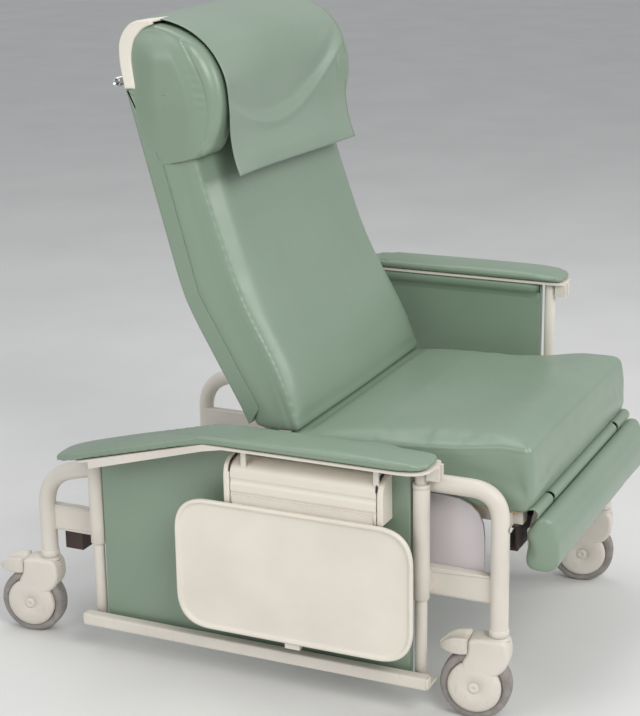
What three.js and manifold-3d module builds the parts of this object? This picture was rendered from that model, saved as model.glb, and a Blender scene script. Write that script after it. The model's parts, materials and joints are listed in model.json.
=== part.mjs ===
// Drop-arm patient recliner chair: a reclining padded chair on four locking casters.
// Millimetres, +Z up, the front of the chair towards -Y, the sitter's left towards +X.
// The origin is on the floor, at the middle of the whole chair's footprint box.

import * as THREE from "three";
import { mergeVertices } from "three/addons/utils/BufferGeometryUtils.js";
import Module from "manifold-3d";

const wasm = await Module();
wasm.setup();

// ---------------------------------------------------------------- driving dimensions

const GAP = 0.3; // between pieces that touch
const RIGHT = -1; // the sitter's right side, where the side tray hangs
const LEFT = 1;

// Side frames: one bent tube a side, with a flat bar between its legs.
const frameX = 319; // centre of each side frame's tube
const legY = 451; // centre of each leg, in front of and behind the middle
const tubeR = 16;
const tubeSides = 10;
const tubeWall = 2.5;
const channelWall = 4;
const archTopZ = 416.5; // centre of the level top tube
const archBendY = 75; // where the top tube starts to fall towards the rear
const fall = 0.256; // fall of the top tube and of the arms behind their bend, per unit length
const frontBendR = 54;
const rearBendR = 80;
const barZ = 211; // underside of the flat bar
const barHigh = 50;
const barInX = frameX - 19;
const barThick = 20;

// Casters.
const wheelR = 62.5;
const wheelTopZ = 2 * wheelR;
const legBottomZ = wheelTopZ + 30;
const wheelSides = 24;
const tyreWide = 32;
const hubR = 47;
const hubWide = 30;
const treadGap = 0.4;
const axleR = 4.5;
const trail = 38; // from the swivel axis back to the axle
const forkGap = 2; // beside the wheel
const cheekThick = 5;
const wheelRoom = 4; // over the tread
const stemR = 6;
const stemLong = 42;
const swivel = { front_right: 7, rear_right: 9, front_left: -12, rear_left: -20 }; // degrees
const pedalHingeY = 50;
const pedalWide = 34;

// Arm posts and the sleeves that guide them.
const postR = 10.5;
const postWall = 2;
const sleeveR = 14.5;
const runningGap = 0.7; // between a post and its sleeve
const postY = 321;
const postX = frameX + tubeR + GAP + sleeveR;
const frontSleeveTopZ = 425;
const rearSleeveTopZ = 378;

// Arms, as they stand lowered.
const armTravel = 146;
const armOutX = frameX + 98;
const armInX = frameX + 11;
const plateTopZ = 463;
const plateThick = 4;
const armBendY = 60;
const armFrontY = -352;
const plateRearY = 335;
const padRearY = 385;
const padInX = frameX + 9;
const padThick = 20;
const lipDeep = 13;
const railOutX = frameX + 66;
const railZ = 59;
const railHigh = 23;
const railFloor = 4;
const railFrontY = -343;
const railRearY = 340;
const sleeveBottomZ = railZ + railFloor + armTravel + 6; // clear of a raised arm's rail
const panelThick = 15;
const panelHalfY = 304;

// Side tray on the right arm.
const trayHinge = { x: frameX + 73, z: 371 };
const trayRodR = 4;
const trayFrontY = -330;
const trayRearY = 122;
const trayTopZ = 361;
const trayBottomZ = 115;
const trayCornerR = 66;
const trayInX = frameX + 86;
const trayThick = 11;
const rimWide = 9;
const rimDeep = 5;
const housingFrontY = -272;
const housingRearY = 28;

// Seat.
const seatHalfX = frameX - 25;
const seatBottomZ = 382;
const seatFrontY = -legY - 38;
const seatRearY = -45;
const seatCrestZ = 492;
const seatBackZ = 452;
const boardThick = 12;
const seatRailX = frameX - 68; // inner face
const seatRailWide = 24;
const seatRailHigh = 24;
const seatRailFrontY = -legY - 24;
const seatRailRearY = 45;
const shieldThick = 5;

// Back, reclining about a pair of pins.
const pivot = { y: 5, z: 430 };
const pinR = 7;
const backHalfX = seatHalfX - 6;
const backRailX = seatRailX - 12.5; // inner face
const backRailThick = 12;
const reclineDeg = 50;
const leverLong = 87;
const leverR = 13;

// Gas spring between the seat and the back's lever.
const springX = -225;
const springDrop = 81; // below the recline pins
const springR = 14;
const springRodR = 5;
const springPinR = 4;
const springFrontY = -300;
const springRearY = -60;

// Legrest, hinged under the front of the seat.
const legPivot = { y: -legY - 45, z: 371 };
const legRodR = 4;
const legHalfX = seatHalfX - 4;
const earX = 200;
const knuckleX = 240;

// ---------------------------------------------------------------- materials

const finish = (color, roughness, metalness = 0) => () =>
  new THREE.MeshStandardMaterial({ color, roughness, metalness });
const paintedSteel = finish(0xdcd6cc, 0.45, 0.1);
const darkSteel = finish(0x463737, 0.6, 0.2);
const brightSteel = finish(0xb8babc, 0.3, 0.9);
const ivoryPlastic = finish(0xe2dcd1, 0.5);
const palePlastic = finish(0xd0c8ca, 0.55);
const greyRubber = finish(0x96918c, 0.8);
const greenVinyl = finish(0x839682, 0.45);
const plywood = finish(0xa98a62, 0.7);

// ---------------------------------------------------------------- shape helpers

// A closed geometry as a manifold-3d solid.
function toSolid(geometry) {
  const bare = geometry.clone();
  for (const name of Object.keys(bare.attributes)) {
    if (name !== "position") bare.deleteAttribute(name);
  }
  const merged = mergeVertices(bare, 1e-4);
  const vertProperties = new Float32Array(merged.attributes.position.array);
  const triVerts = new Uint32Array(merged.index.array);
  return new wasm.Manifold(new wasm.Mesh({ numProp: 3, vertProperties, triVerts }));
}

function toGeometry(solid) {
  const { vertProperties, triVerts } = solid.getMesh();
  const geometry = new THREE.BufferGeometry();
  geometry.setAttribute("position", new THREE.BufferAttribute(vertProperties, 3));
  geometry.setIndex(new THREE.BufferAttribute(triVerts, 1));
  geometry.computeVertexNormals();
  return geometry;
}

const combine = (how) => (first, ...rest) =>
  toGeometry(rest.reduce((solid, other) => solid[how](toSolid(other)), toSolid(first)));
const join = combine("add");
const cut = combine("subtract");
const common = combine("intersect");

// A box between two corners, given as ranges in any order.
function box([x0, x1], [y0, y1], [z0, z1]) {
  const geometry = new THREE.BoxGeometry(Math.abs(x1 - x0), Math.abs(y1 - y0), Math.abs(z1 - z0));
  return geometry.translate((x0 + x1) / 2, (y0 + y1) / 2, (z0 + z1) / 2);
}

// Round bars along each axis.
function barZRound(r, [z0, z1], x, y, sides = 16) {
  const bar = new THREE.CylinderGeometry(r, r, z1 - z0, sides).rotateX(Math.PI / 2);
  return bar.translate(x, y, (z0 + z1) / 2);
}

function barXRound(r, [x0, x1], y, z, sides = 16) {
  const bar = new THREE.CylinderGeometry(r, r, Math.abs(x1 - x0), sides).rotateZ(Math.PI / 2);
  return bar.translate((x0 + x1) / 2, y, z);
}

function barYRound(r, [y0, y1], x, z, sides = 16) {
  const bar = new THREE.CylinderGeometry(r, r, y1 - y0, sides);
  return bar.translate(x, (y0 + y1) / 2, z);
}

// A closed outline through points [a, b] or [a, b, corner radius].
function outline(points, curveParts = 5) {
  const shape = new THREE.Shape();
  const at = points.map(([a, b]) => new THREE.Vector2(a, b));
  points.forEach(([a, b, r = 0], i) => {
    const here = at[i];
    const before = at[(i + points.length - 1) % points.length];
    const after = at[(i + 1) % points.length];
    const towards = (p) => {
      const reach = Math.min(r, here.distanceTo(p) * 0.48);
      return here.clone().add(p.clone().sub(here).setLength(reach));
    };
    const from = r ? towards(before) : here;
    if (i) shape.lineTo(from.x, from.y);
    else shape.moveTo(from.x, from.y);
    if (r) {
      const to = towards(after);
      shape.quadraticCurveTo(a, b, to.x, to.y);
    }
  });
  shape.closePath();
  shape.curveParts = curveParts;
  return shape;
}

// The outline of a bar with round ends, between two points.
function capsule([a0, b0], [a1, b1], r, parts = 8) {
  const shape = new THREE.Shape();
  const turn = Math.atan2(b1 - b0, a1 - a0);
  shape.absarc(a1, b1, r, turn - Math.PI / 2, turn + Math.PI / 2, false);
  shape.absarc(a0, b0, r, turn + Math.PI / 2, turn + Math.PI * 1.5, false);
  shape.closePath();
  shape.curveParts = parts;
  return shape;
}

function extrude(shape, deep, soften = 0) {
  return new THREE.ExtrudeGeometry(shape, {
    depth: deep - 2 * soften,
    curveSegments: shape.curveParts,
    bevelEnabled: soften > 0,
    bevelThickness: soften,
    bevelSize: soften,
    bevelOffset: -soften,
    bevelSegments: 2,
  }).translate(0, 0, soften);
}

const alongX = new THREE.Matrix4().makeBasis(
  new THREE.Vector3(0, 1, 0),
  new THREE.Vector3(0, 0, 1),
  new THREE.Vector3(1, 0, 0),
);
const alongY = new THREE.Matrix4().makeBasis(
  new THREE.Vector3(1, 0, 0),
  new THREE.Vector3(0, 0, 1),
  new THREE.Vector3(0, -1, 0),
);

// Slabs: an outline in (y, z), (x, z) or (x, y), pushed along the third axis.
function slabX(shape, [x0, x1], soften = 0) {
  const low = Math.min(x0, x1);
  return extrude(shape, Math.abs(x1 - x0), soften).applyMatrix4(alongX).translate(low, 0, 0);
}

function slabY(shape, [y0, y1], soften = 0) {
  return extrude(shape, y1 - y0, soften).applyMatrix4(alongY).translate(0, y1, 0);
}

function slabZ(shape, [z0, z1]) {
  return extrude(shape, z1 - z0).translate(0, 0, z0);
}

// A ring or disc turned about X, from a closed profile of [radius, x] points.
function turnedX(profile, y, z, sides) {
  const points = profile.map(([r, x]) => new THREE.Vector2(r, x));
  points.push(points[0].clone());
  const half = Math.PI / sides; // puts a flat, not a corner, at the bottom
  return new THREE.LatheGeometry(points, sides)
    .rotateY(half)
    .rotateZ(-Math.PI / 2)
    .translate(0, y, z);
}

function addMesh(group, name, geometry, material) {
  const mesh = new THREE.Mesh(geometry, material());
  mesh.name = name;
  group.add(mesh);
  return mesh;
}

const sideName = (side) => (side === RIGHT ? "right" : "left");

// ---------------------------------------------------------------- side frames

// The centre line of a side frame's tube, from the rear leg's foot to the front leg's foot.
function archPath(x, footZ) {
  const slope = Math.atan(fall);
  const rearTopZ = archTopZ - fall * (legY - archBendY);
  const rearReach = rearBendR * Math.tan((Math.PI / 2 - slope) / 2);
  const bendReach = 24;
  const at = (y, z) => new THREE.Vector3(x, y, z);
  const path = new THREE.CurvePath();
  const line = (a, b) => path.add(new THREE.LineCurve3(a, b));
  const bend = (a, b, c) => path.add(new THREE.QuadraticBezierCurve3(a, b, c));
  const along = (d) => at(legY - d * Math.cos(slope), rearTopZ + d * Math.sin(slope));
  const topLong = (legY - archBendY) / Math.cos(slope);
  line(at(legY, footZ), at(legY, rearTopZ - rearReach));
  bend(at(legY, rearTopZ - rearReach), at(legY, rearTopZ), along(rearReach));
  line(along(rearReach), along(topLong - bendReach));
  bend(along(topLong - bendReach), at(archBendY, archTopZ), at(archBendY - bendReach, archTopZ));
  line(at(archBendY - bendReach, archTopZ), at(-legY + frontBendR, archTopZ));
  const front = at(-legY, archTopZ - frontBendR);
  bend(at(-legY + frontBendR, archTopZ), at(-legY, archTopZ), front);
  line(front, at(-legY, footZ));
  return path;
}

function tubeSection(r, sides) {
  const shape = new THREE.Shape();
  for (let i = 0; i < sides; i += 1) {
    const angle = ((i + 0.5) * 2 * Math.PI) / sides;
    const corner = [r * Math.cos(angle), r * Math.sin(angle)];
    if (i) shape.lineTo(...corner);
    else shape.moveTo(...corner);
  }
  shape.closePath();
  return shape;
}

function bentTube(r, x, footZ) {
  return new THREE.ExtrudeGeometry(tubeSection(r, tubeSides), {
    steps: 38,
    extrudePath: archPath(x, footZ),
  });
}

// The tube with its legs open underneath, and a flat channel welded between the legs.
function sideFrame(side) {
  const x = side * frameX;
  const outerX = barInX + barThick;
  const bar = box([side * barInX, side * outerX], [-legY, legY], [barZ, barZ + barHigh]);
  const trough = box(
    [side * (barInX - 1), side * (outerX - channelWall)],
    [-legY + tubeR, legY - tubeR],
    [barZ + channelWall, barZ + barHigh - channelWall],
  );
  const bore = bentTube(tubeR - tubeWall, x, legBottomZ - 6);
  return cut(join(bentTube(tubeR, x, legBottomZ), cut(bar, trough)), bore);
}

// A guide sleeve, open at both ends, with a weld pad that reaches the frame's bar.
function postSleeve(side, y, topZ) {
  const x = side * postX;
  const body = barZRound(sleeveR, [sleeveBottomZ, topZ], x, y);
  const padX = [side * (barInX + barThick + GAP), side * postX];
  const weldPad = box(padX, [y - 7, y + 7], [sleeveBottomZ + 3, barZ + barHigh - 3]);
  const bore = barZRound(postR + runningGap, [sleeveBottomZ - 5, topZ + 5], x, y);
  return cut(join(body, weldPad), bore);
}

// The flat panel that hides the seat's works inside the front of each side frame.
function seatShield(side) {
  const x = side * (barInX - GAP);
  const shape = outline([
    [-10, barZ + 39, 6],
    [-10, 386, 10],
    [-legY + 35, 388, 70],
    [-legY + 35, barZ + 39, 6],
  ]);
  return slabX(shape, [x - side * shieldThick, x]);
}

function rearChannel() {
  const half = barInX + 5;
  const topZ = barZ - GAP;
  const frontY = legY - 65;
  const rearY = legY - 27;
  const body = box([-half, half], [frontY, rearY], [topZ - 40, topZ]);
  const insideY = [frontY + channelWall, rearY - channelWall];
  const inside = box([-half - 1, half + 1], insideY, [topZ - 41, topZ - channelWall]);
  return cut(body, inside);
}

// The dark channel under the seat's front edge, with two ears for the legrest's rod.
function frontChannel() {
  const topZ = seatBottomZ - GAP - boardThick - GAP - seatRailHigh - GAP;
  const frontY = seatRailFrontY + 5;
  const halfX = barInX - 15;
  const body = box([-halfX, halfX], [frontY, frontY + 35], [topZ - 45, topZ]);
  const insideX = [-halfX - 1, halfX + 1];
  const insideY = [frontY + channelWall, frontY + 36];
  const inside = box(insideX, insideY, [topZ - 41, topZ - channelWall]);
  const ear = (side) => {
    const shape = capsule([frontY + 6, topZ - 8], [legPivot.y, legPivot.z], 7.5);
    return slabX(shape, [side * earX - 2.5, side * earX + 2.5]);
  };
  const plateX = seatRailX - GAP;
  const plateY = [frontY, frontY + channelWall];
  const plate = box([-plateX, plateX], plateY, [topZ - 1, topZ + seatRailHigh]);
  const rodHole = barXRound(legRodR + 0.5, [-300, 300], legPivot.y, legPivot.z, 12);
  return cut(join(cut(body, inside), plate, ear(RIGHT), ear(LEFT)), rodHole);
}

// ---------------------------------------------------------------- seat

function seatRail(side) {
  const topZ = seatBottomZ - GAP - boardThick - GAP;
  const railX = [side * seatRailX, side * (seatRailX + seatRailWide)];
  const railZRange = [topZ - seatRailHigh, topZ];
  const rail = box(railX, [seatRailFrontY, seatRailRearY], railZRange);
  const outX = side * (frameX - tubeR - GAP);
  const frontArm = box([side * seatRailX, outX], [-legY - 9, -legY + 9], railZRange);
  const footX = [side * (seatRailX + seatRailWide - 6), side * (barInX - GAP)];
  const rearFoot = box(footX, [8, seatRailRearY], [barZ + 3, topZ]);
  const lugX = [side * seatRailX, side * (seatRailX + 10)];
  const lug = slabX(capsule([pivot.y, topZ - 12], [pivot.y, pivot.z], 15), lugX);
  const pinEnds = [side * (seatRailX + 10), side * (backRailX - 3)];
  const pin = barXRound(pinR, pinEnds, pivot.y, pivot.z);
  return join(rail, frontArm, rearFoot, lug, pin);
}

function seatBoard() {
  const topZ = seatBottomZ - GAP;
  const boardY = [seatFrontY + 19, seatRearY - 15];
  return box([-seatHalfX + 6, seatHalfX - 6], boardY, [topZ - boardThick, topZ]);
}

function seatCushion() {
  const shape = outline([
    [seatRearY, seatBottomZ, 12],
    [seatRearY, seatBackZ, 20],
    [-325, 475, 60],
    [seatFrontY + 49, seatCrestZ, 40],
    [seatFrontY - 7, seatCrestZ - 2, 18],
    [seatFrontY - 16, 445, 30],
    [seatFrontY, seatBottomZ, 12],
  ]);
  return slabX(shape, [-seatHalfX, seatHalfX], 5);
}

// ---------------------------------------------------------------- back

// The outer line of the back's rear, from its foot up to the moulded cap.
const rearLine = [
  [40, 480],
  [155, 681],
  [256, 1049.5],
];

// The same line moved forward by a distance, square to itself.
function rearInset(distance) {
  const [p0, p1, p2] = rearLine.map(([y, z]) => new THREE.Vector2(y, z));
  const normal = (a, b) => {
    const d = b.clone().sub(a).normalize();
    return new THREE.Vector2(-d.y, d.x);
  };
  const n0 = normal(p0, p1);
  const n1 = normal(p1, p2);
  const mid = n0.clone().add(n1).normalize();
  const shift = (p, n, d) => [p.x + n.x * d, p.y + n.y * d];
  return [
    shift(p0, n0, distance),
    shift(p1, mid, distance / mid.dot(n0)),
    shift(p2, n1, distance),
  ];
}

const coverDeep = 33.5;
const coverWall = 4;

function backRearCover() {
  const outside = outline([...rearLine, ...rearInset(coverDeep).reverse()]);
  const wallLine = rearInset(coverWall);
  const openLine = rearInset(coverDeep + 8);
  const hollow = outline([
    [wallLine[0][0] - 24, wallLine[0][1] - 42],
    wallLine[1],
    [wallLine[2][0] - 2, wallLine[2][1] - 8],
    [openLine[2][0] - 2, openLine[2][1] - 8],
    openLine[1],
    [openLine[0][0] - 24, openLine[0][1] - 42],
  ]);
  const insideX = backHalfX - coverWall;
  return cut(
    slabX(outside, [-backHalfX, backHalfX]),
    slabX(hollow, [-insideX, insideX]),
  );
}

function backBoard() {
  const [a0, a1, a2] = rearInset(22);
  const [b0, b1, b2] = rearInset(33);
  const lower = ([y, z]) => [y - 8, z - 28];
  const shape = outline([a0, a1, lower(a2), lower(b2), b1, b0]);
  return slabX(shape, [-272, 272]);
}

function backRail(side) {
  const railX = [side * backRailX, side * (backRailX + backRailThick)];
  const throughX = [side * (backRailX - 2), side * (backRailX + backRailThick + 2)];
  const [a0, a1, a2] = rearInset(6);
  const [b0, b1, b2] = rearInset(21);
  const lower = ([y, z]) => [y - 11, z - 40];
  const strip = outline([a0, a1, lower(a2), lower(b2), b1, b0]);
  const foot = rearInset(13)[0];
  const link = slabX(capsule(foot, [pivot.y, pivot.z], 8.5), railX);
  const boss = barXRound(13, railX, pivot.y, pivot.z);
  const pinBore = barXRound(pinR + 0.6, throughX, pivot.y, pivot.z);
  if (side === LEFT) return cut(join(slabX(strip, railX), link, boss), pinBore);
  const half = THREE.MathUtils.degToRad(reclineDeg / 2);
  const onLever = (d) => [pivot.y + d * Math.sin(half), pivot.z - d * Math.cos(half)];
  const lever = slabX(capsule([pivot.y, pivot.z], onLever(leverLong), leverR), railX);
  const slot = capsule(onLever(leverLong - 7), onLever(leverLong + 4), springPinR + 1.6);
  const slotCut = slabX(slot, throughX);
  return cut(join(slabX(strip, railX), link, boss, lever), pinBore, slotCut);
}

function backCushion() {
  const [rear0, rear1, rear2] = rearInset(coverDeep + GAP + 0.3);
  const shape = outline([
    [-67, 466, 12],
    [-34, 550, 40],
    [45, 693, 60],
    [109, 883, 60],
    [120, 930, 20],
    [150, 1080, 20],
    [168, 1142, 16],
    [198, 1164, 12],
    [224, 1159, 12],
    [241, 1141, 12],
    [247, 1108, 12],
    [240, 1060],
    [rear2[0], rear2[1]],
    rear1,
    rear0,
  ], 3);
  return slabX(shape, [-backHalfX, backHalfX]);
}

// The moulded cap that wraps the top rear edge of the back.
function backCap() {
  const shape = outline([
    [255.5, 1050.5],
    [264.5, 1100, 20],
    [263, 1138, 26],
    [238, 1168, 22],
    [199, 1170.5],
    [198, 1165.5],
    [227, 1162, 12],
    [247, 1142, 12],
    [251.5, 1108, 12],
    [244, 1054.5],
  ], 4);
  return slabX(shape, [-backHalfX, backHalfX]);
}

// The push bar across the cap: a tube with open ends, on two stand-offs.
function pushBar() {
  const bar = { y: 277, z: 1060, r: 8.5, hole: 6 };
  const half = backHalfX - 4;
  const tube = barXRound(bar.r, [-half, half], bar.y, bar.z, 14);
  const standOff = (side) => barYRound(5, [259, bar.y], side * 215, bar.z, 10);
  const hole = barXRound(bar.hole, [-half - 5, half + 5], bar.y, bar.z, 12);
  return cut(join(tube, standOff(RIGHT), standOff(LEFT)), hole);
}

function headWing(side) {
  const shape = outline([
    [118, 932, 14],
    [92, 946, 20],
    [76, 1006, 30],
    [81, 1072, 30],
    [110, 1124, 30],
    [163, 1150, 12],
    [149, 1080],
  ], 3);
  return slabX(shape, [side * 216, side * backHalfX], 3);
}

// The loose sheet over the head of the back, hanging down in front of it.
function headCover() {
  const halfX = backHalfX - 30;
  const thick = 2.6;
  const line = new THREE.CatmullRomCurve3(
    [
      [62, 893],
      [69, 960],
      [71, 1020],
      [77, 1078],
      [101, 1123],
      [142, 1156],
      [198, 1174],
      [244, 1168.5],
      [267.5, 1141],
      [269.5, 1092],
    ].map(([y, z]) => new THREE.Vector3(y, z, 0)),
    false,
    "centripetal",
  );
  const outer = line.getSpacedPoints(24);
  const inner = outer.map((point, i) => {
    const tangent = line.getTangentAt(i / 24);
    return new THREE.Vector3(point.x + tangent.y * thick, point.y - tangent.x * thick, 0);
  });
  const points = [...outer, ...inner.reverse()].map((p) => [p.x, p.y]);
  return slabX(outline(points), [-halfX, halfX]);
}

// ---------------------------------------------------------------- gas spring

function springCylinder() {
  const z = pivot.z - springDrop;
  const body = barYRound(springR, [springFrontY, springRearY], springX, z, 16);
  const eye = box([springX - 25.6, springX], [springFrontY, springFrontY + 26], [z - 9, z + 9]);
  const bore = barYRound(springRodR + 0.4, [springFrontY + 70, springRearY + 5], springX, z, 12);
  return cut(join(body, eye), bore);
}

function springRod() {
  const z = pivot.z - springDrop;
  const half = THREE.MathUtils.degToRad(reclineDeg / 2);
  const pinY = pivot.y + springDrop * Math.tan(half);
  const rod = barYRound(springRodR, [springRearY - 70, pinY], springX, z, 12);
  const head = barXRound(8, [springX - 8, springX + 8], pinY, z, 12);
  const pin = barXRound(springPinR, [springX, -(seatRailX - 0.6)], pinY, z, 12);
  return join(rod, head, pin);
}

// ---------------------------------------------------------------- legrest

function legrestFrame() {
  const { y, z } = legPivot;
  const board = outline([
    [y + 13, z - 31, 3],
    [y + 9, z - 103, 3],
    [y + 0.5, z - 103, 3],
    [y + 4.5, z - 29, 3],
  ], 2);
  const knuckle = (side) => {
    const arm = capsule([y + 11, z - 46], [y, z], 7.5);
    return slabX(arm, [side * knuckleX - 9, side * knuckleX + 9]);
  };
  const rodHole = barXRound(legRodR + 0.6, [-300, 300], y, z, 12);
  return cut(join(slabX(board, [-275, 275]), knuckle(RIGHT), knuckle(LEFT)), rodHole);
}

function legrestPad() {
  const { y, z } = legPivot;
  const shape = outline([
    [y - 8.5, z - 5, 8],
    [y - 31, z - 4, 18],
    [y - 44, z - 38, 20],
    [y - 51, z - 76, 20],
    [y - 44, z - 104, 20],
    [y - 0.5, z - 104, 8],
    [y + 2, z - 52],
  ]);
  return slabX(shape, [-legHalfX, legHalfX], 4);
}

// ---------------------------------------------------------------- arms

// A line that is level in front of the arm's bend and falls behind it.
const armLine = (y, levelZ) => levelZ - fall * Math.max(0, y - armBendY);

function armPlan(side, inX, rearY, inset) {
  const out = side * (armOutX - inset);
  const points = [
    [side * (inX + inset), armFrontY + inset, 12],
    [out, armFrontY + inset, 52],
    [out, rearY - inset, 40],
    [side * (inX + inset), rearY - inset, 30],
  ];
  return slabZ(outline(points), [300, 600]);
}

function armBand(side, bottomZ, topZ, rearY, inX) {
  const shape = outline([
    [armFrontY - 5, bottomZ],
    [armBendY, bottomZ],
    [rearY + 5, armLine(rearY + 5, bottomZ)],
    [rearY + 5, armLine(rearY + 5, topZ)],
    [armBendY, topZ],
    [armFrontY - 5, topZ],
  ]);
  return slabX(shape, [side * inX, side * (armOutX + 1)]);
}

function armPlate(side) {
  const underZ = plateTopZ - plateThick;
  const plate = common(
    armBand(side, underZ, plateTopZ, plateRearY, armInX),
    armPlan(side, armInX, plateRearY, 0),
  );
  const lipFrontY = 16;
  const lipRearY = plateRearY - 42;
  const lip = slabX(
    outline([
      [lipFrontY, underZ + 1],
      [armBendY, underZ - lipDeep * 0.6],
      [lipRearY, armLine(lipRearY, underZ) - lipDeep],
      [lipRearY, armLine(lipRearY, underZ) + 1],
      [armBendY, underZ + 1],
    ]),
    [side * (armOutX - 3), side * armOutX],
  );
  const noseX = [side * (postX - 12), side * (postX + 12)];
  const nose = box(noseX, [armFrontY - 4, armFrontY + 18], [435, underZ + 1]);
  const groove = box([side * (postX - 5), side * (postX + 5)], [-362, -352], [430, 470]);
  return join(plate, lip, cut(nose, groove));
}

function armPad(side) {
  const bottomZ = plateTopZ + GAP;
  return common(
    armBand(side, bottomZ, bottomZ + padThick, padRearY, padInX),
    armPlan(side, padInX, padRearY, 0),
  );
}

function armPost(side, y) {
  const floorZ = railZ + railFloor + GAP;
  const topZ = armLine(y + postR, plateTopZ - plateThick) - GAP;
  const bore = barZRound(postR - postWall, [floorZ - 5, topZ + 5], side * postX, y, 10);
  return cut(barZRound(postR, [floorZ, topZ], side * postX, y), bore);
}

// The rail along the foot of the arm: a channel outside, and a floor under posts and panel.
function armRail(side) {
  const inX = postX - 15;
  const lipX = railOutX - 19;
  const wallX = railOutX - railFloor;
  const topZ = railZ + railHigh;
  const floorZ = railZ + railFloor;
  const points = [
    [side * inX, railZ],
    [side * railOutX, railZ, 4],
    [side * railOutX, topZ, 4],
    [side * lipX, topZ],
    [side * lipX, topZ - railFloor],
    [side * wallX, topZ - railFloor],
    [side * wallX, floorZ],
    [side * inX, floorZ],
  ];
  return slabY(outline(points, 2), [railFrontY, railRearY]);
}

function armPanel(side) {
  const bottomZ = railZ + railFloor + 0.5;
  const topZ = plateTopZ - plateThick - 0.5;
  const shape = outline([
    [-panelHalfY, bottomZ],
    [panelHalfY, bottomZ],
    [panelHalfY, armLine(panelHalfY, topZ)],
    [armBendY, topZ],
    [-panelHalfY, topZ],
  ]);
  const half = panelThick / 2;
  return slabX(shape, [side * (postX - half), side * (postX + half)]);
}

function arm(side) {
  const group = new THREE.Group();
  const name = sideName(side);
  addMesh(group, `arm_post_front_${name}`, armPost(side, -postY), paintedSteel);
  addMesh(group, `arm_post_rear_${name}`, armPost(side, postY), paintedSteel);
  addMesh(group, `arm_rail_${name}`, armRail(side), paintedSteel);
  addMesh(group, `arm_panel_${name}`, armPanel(side), greenVinyl);
  addMesh(group, `arm_plate_${name}`, armPlate(side), paintedSteel);
  addMesh(group, `arm_pad_${name}`, armPad(side), greenVinyl);
  return group;
}

// ---------------------------------------------------------------- side tray

function trayHousing() {
  const inX = postX + panelThick / 2 + 0.4;
  const outX = trayHinge.x + 9;
  const shape = outline([
    [-inX, 356],
    [-inX, 436],
    [-inX - 14, 436, 10],
    [-outX, 424, 18],
    [-outX, 356, 3],
  ], 4);
  const body = slabY(shape, [housingFrontY, housingRearY]);
  const recessX = [-(trayHinge.x - 9), -(outX + 5)];
  const recess = box(recessX, [housingFrontY + 8, housingRearY - 8], [350, trayHinge.z + 17]);
  const rodHole = barYRound(trayRodR + 0.6, [-400, 100], -trayHinge.x, trayHinge.z, 12);
  const hanger = (y) => {
    const topZ = plateTopZ - plateThick - GAP;
    return box([-outX + 4, -outX + 8], [y - 5, y + 5], [400, topZ]);
  };
  return join(cut(body, recess, rodHole), hanger(-10), hanger(-258));
}

// The tray's hinge leaf and rod, with a strip down to a catch under the tray's lower edge.
function trayBracket() {
  const rodY = [housingFrontY + 1, housingRearY - 1];
  const rod = barYRound(trayRodR, rodY, -trayHinge.x, trayHinge.z, 12);
  const wideY = [housingFrontY + 18, housingRearY - 18];
  const web = box([-trayHinge.x, -(trayInX - GAP)], wideY, [trayHinge.z - 5, trayHinge.z + 4]);
  const leafX = [-(trayInX - 3), -(trayInX - GAP)];
  const leaf = box(leafX, wideY, [220, trayHinge.z + 4]);
  const midY = (trayFrontY + trayRearY) / 2;
  const catchZ = trayBottomZ - GAP;
  const strip = box(leafX, [midY - 14, midY + 14], [catchZ - 9, 230]);
  const hook = box([-(trayInX - 3), -(trayInX + 8)], [midY - 14, midY + 14], [catchZ - 9, catchZ]);
  return join(rod, web, leaf, strip, hook);
}

function trayOutline(inset) {
  const r = trayCornerR - inset;
  return outline([
    [trayFrontY + inset, trayBottomZ + inset, r],
    [trayRearY - inset, trayBottomZ + inset, r],
    [trayRearY - inset, trayTopZ - inset, r],
    [trayFrontY + inset, trayTopZ - inset, r],
  ], 6);
}

function sideTray() {
  const faceX = -(trayInX + trayThick);
  const plate = slabX(trayOutline(0), [-trayInX, faceX]);
  return cut(plate, slabX(trayOutline(rimWide), [faceX + rimDeep, faceX - 1]));
}

// ---------------------------------------------------------------- casters

function casterHousing() {
  const innerHalf = tyreWide / 2 + forkGap;
  const outerHalf = innerHalf + cheekThick;
  const topZ = legBottomZ - GAP;
  const hood = slabX(
    outline([
      [-20, wheelTopZ - 13, 18],
      [-20, topZ, 10],
      [32, topZ, 6],
      [46, wheelTopZ + 23],
      [44, wheelTopZ + 2],
      [76, wheelTopZ - 9, 8],
      [80, wheelR + 21, 12],
      [trail + 34, wheelR - 32, 18],
      [trail - 34, wheelR - 32, 18],
      [trail - 34, wheelR + 21, 20],
    ], 2),
    [-outerHalf, outerHalf],
  );
  const well = barXRound(wheelR + wheelRoom, [-innerHalf, innerHalf], trail, wheelR, 20);
  const stem = barZRound(stemR, [topZ - 4, legBottomZ + stemLong], 0, 0, 12);
  const axle = barXRound(axleR, [-outerHalf, outerHalf], trail, wheelR, 8);
  return join(cut(hood, well), stem, axle);
}

function casterPedal() {
  const shape = outline([
    [pedalHingeY, wheelTopZ + 7, 4],
    [pedalHingeY, wheelTopZ + 23, 5],
    [86, wheelTopZ + 19, 14],
    [103, wheelTopZ + 3, 5],
    [96, wheelTopZ - 3, 3],
    [80, wheelTopZ - 1, 6],
  ], 3);
  return slabX(shape, [-pedalWide / 2, pedalWide / 2], 3);
}

function tyre() {
  const half = tyreWide / 2;
  const outR = wheelR / Math.cos(Math.PI / wheelSides);
  const profile = [
    [hubR + treadGap, -half],
    [outR - 5, -half],
    [outR, -half + 6],
    [outR, half - 6],
    [outR - 5, half],
    [hubR + treadGap, half],
  ];
  return turnedX(profile, trail, wheelR, wheelSides);
}

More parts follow.
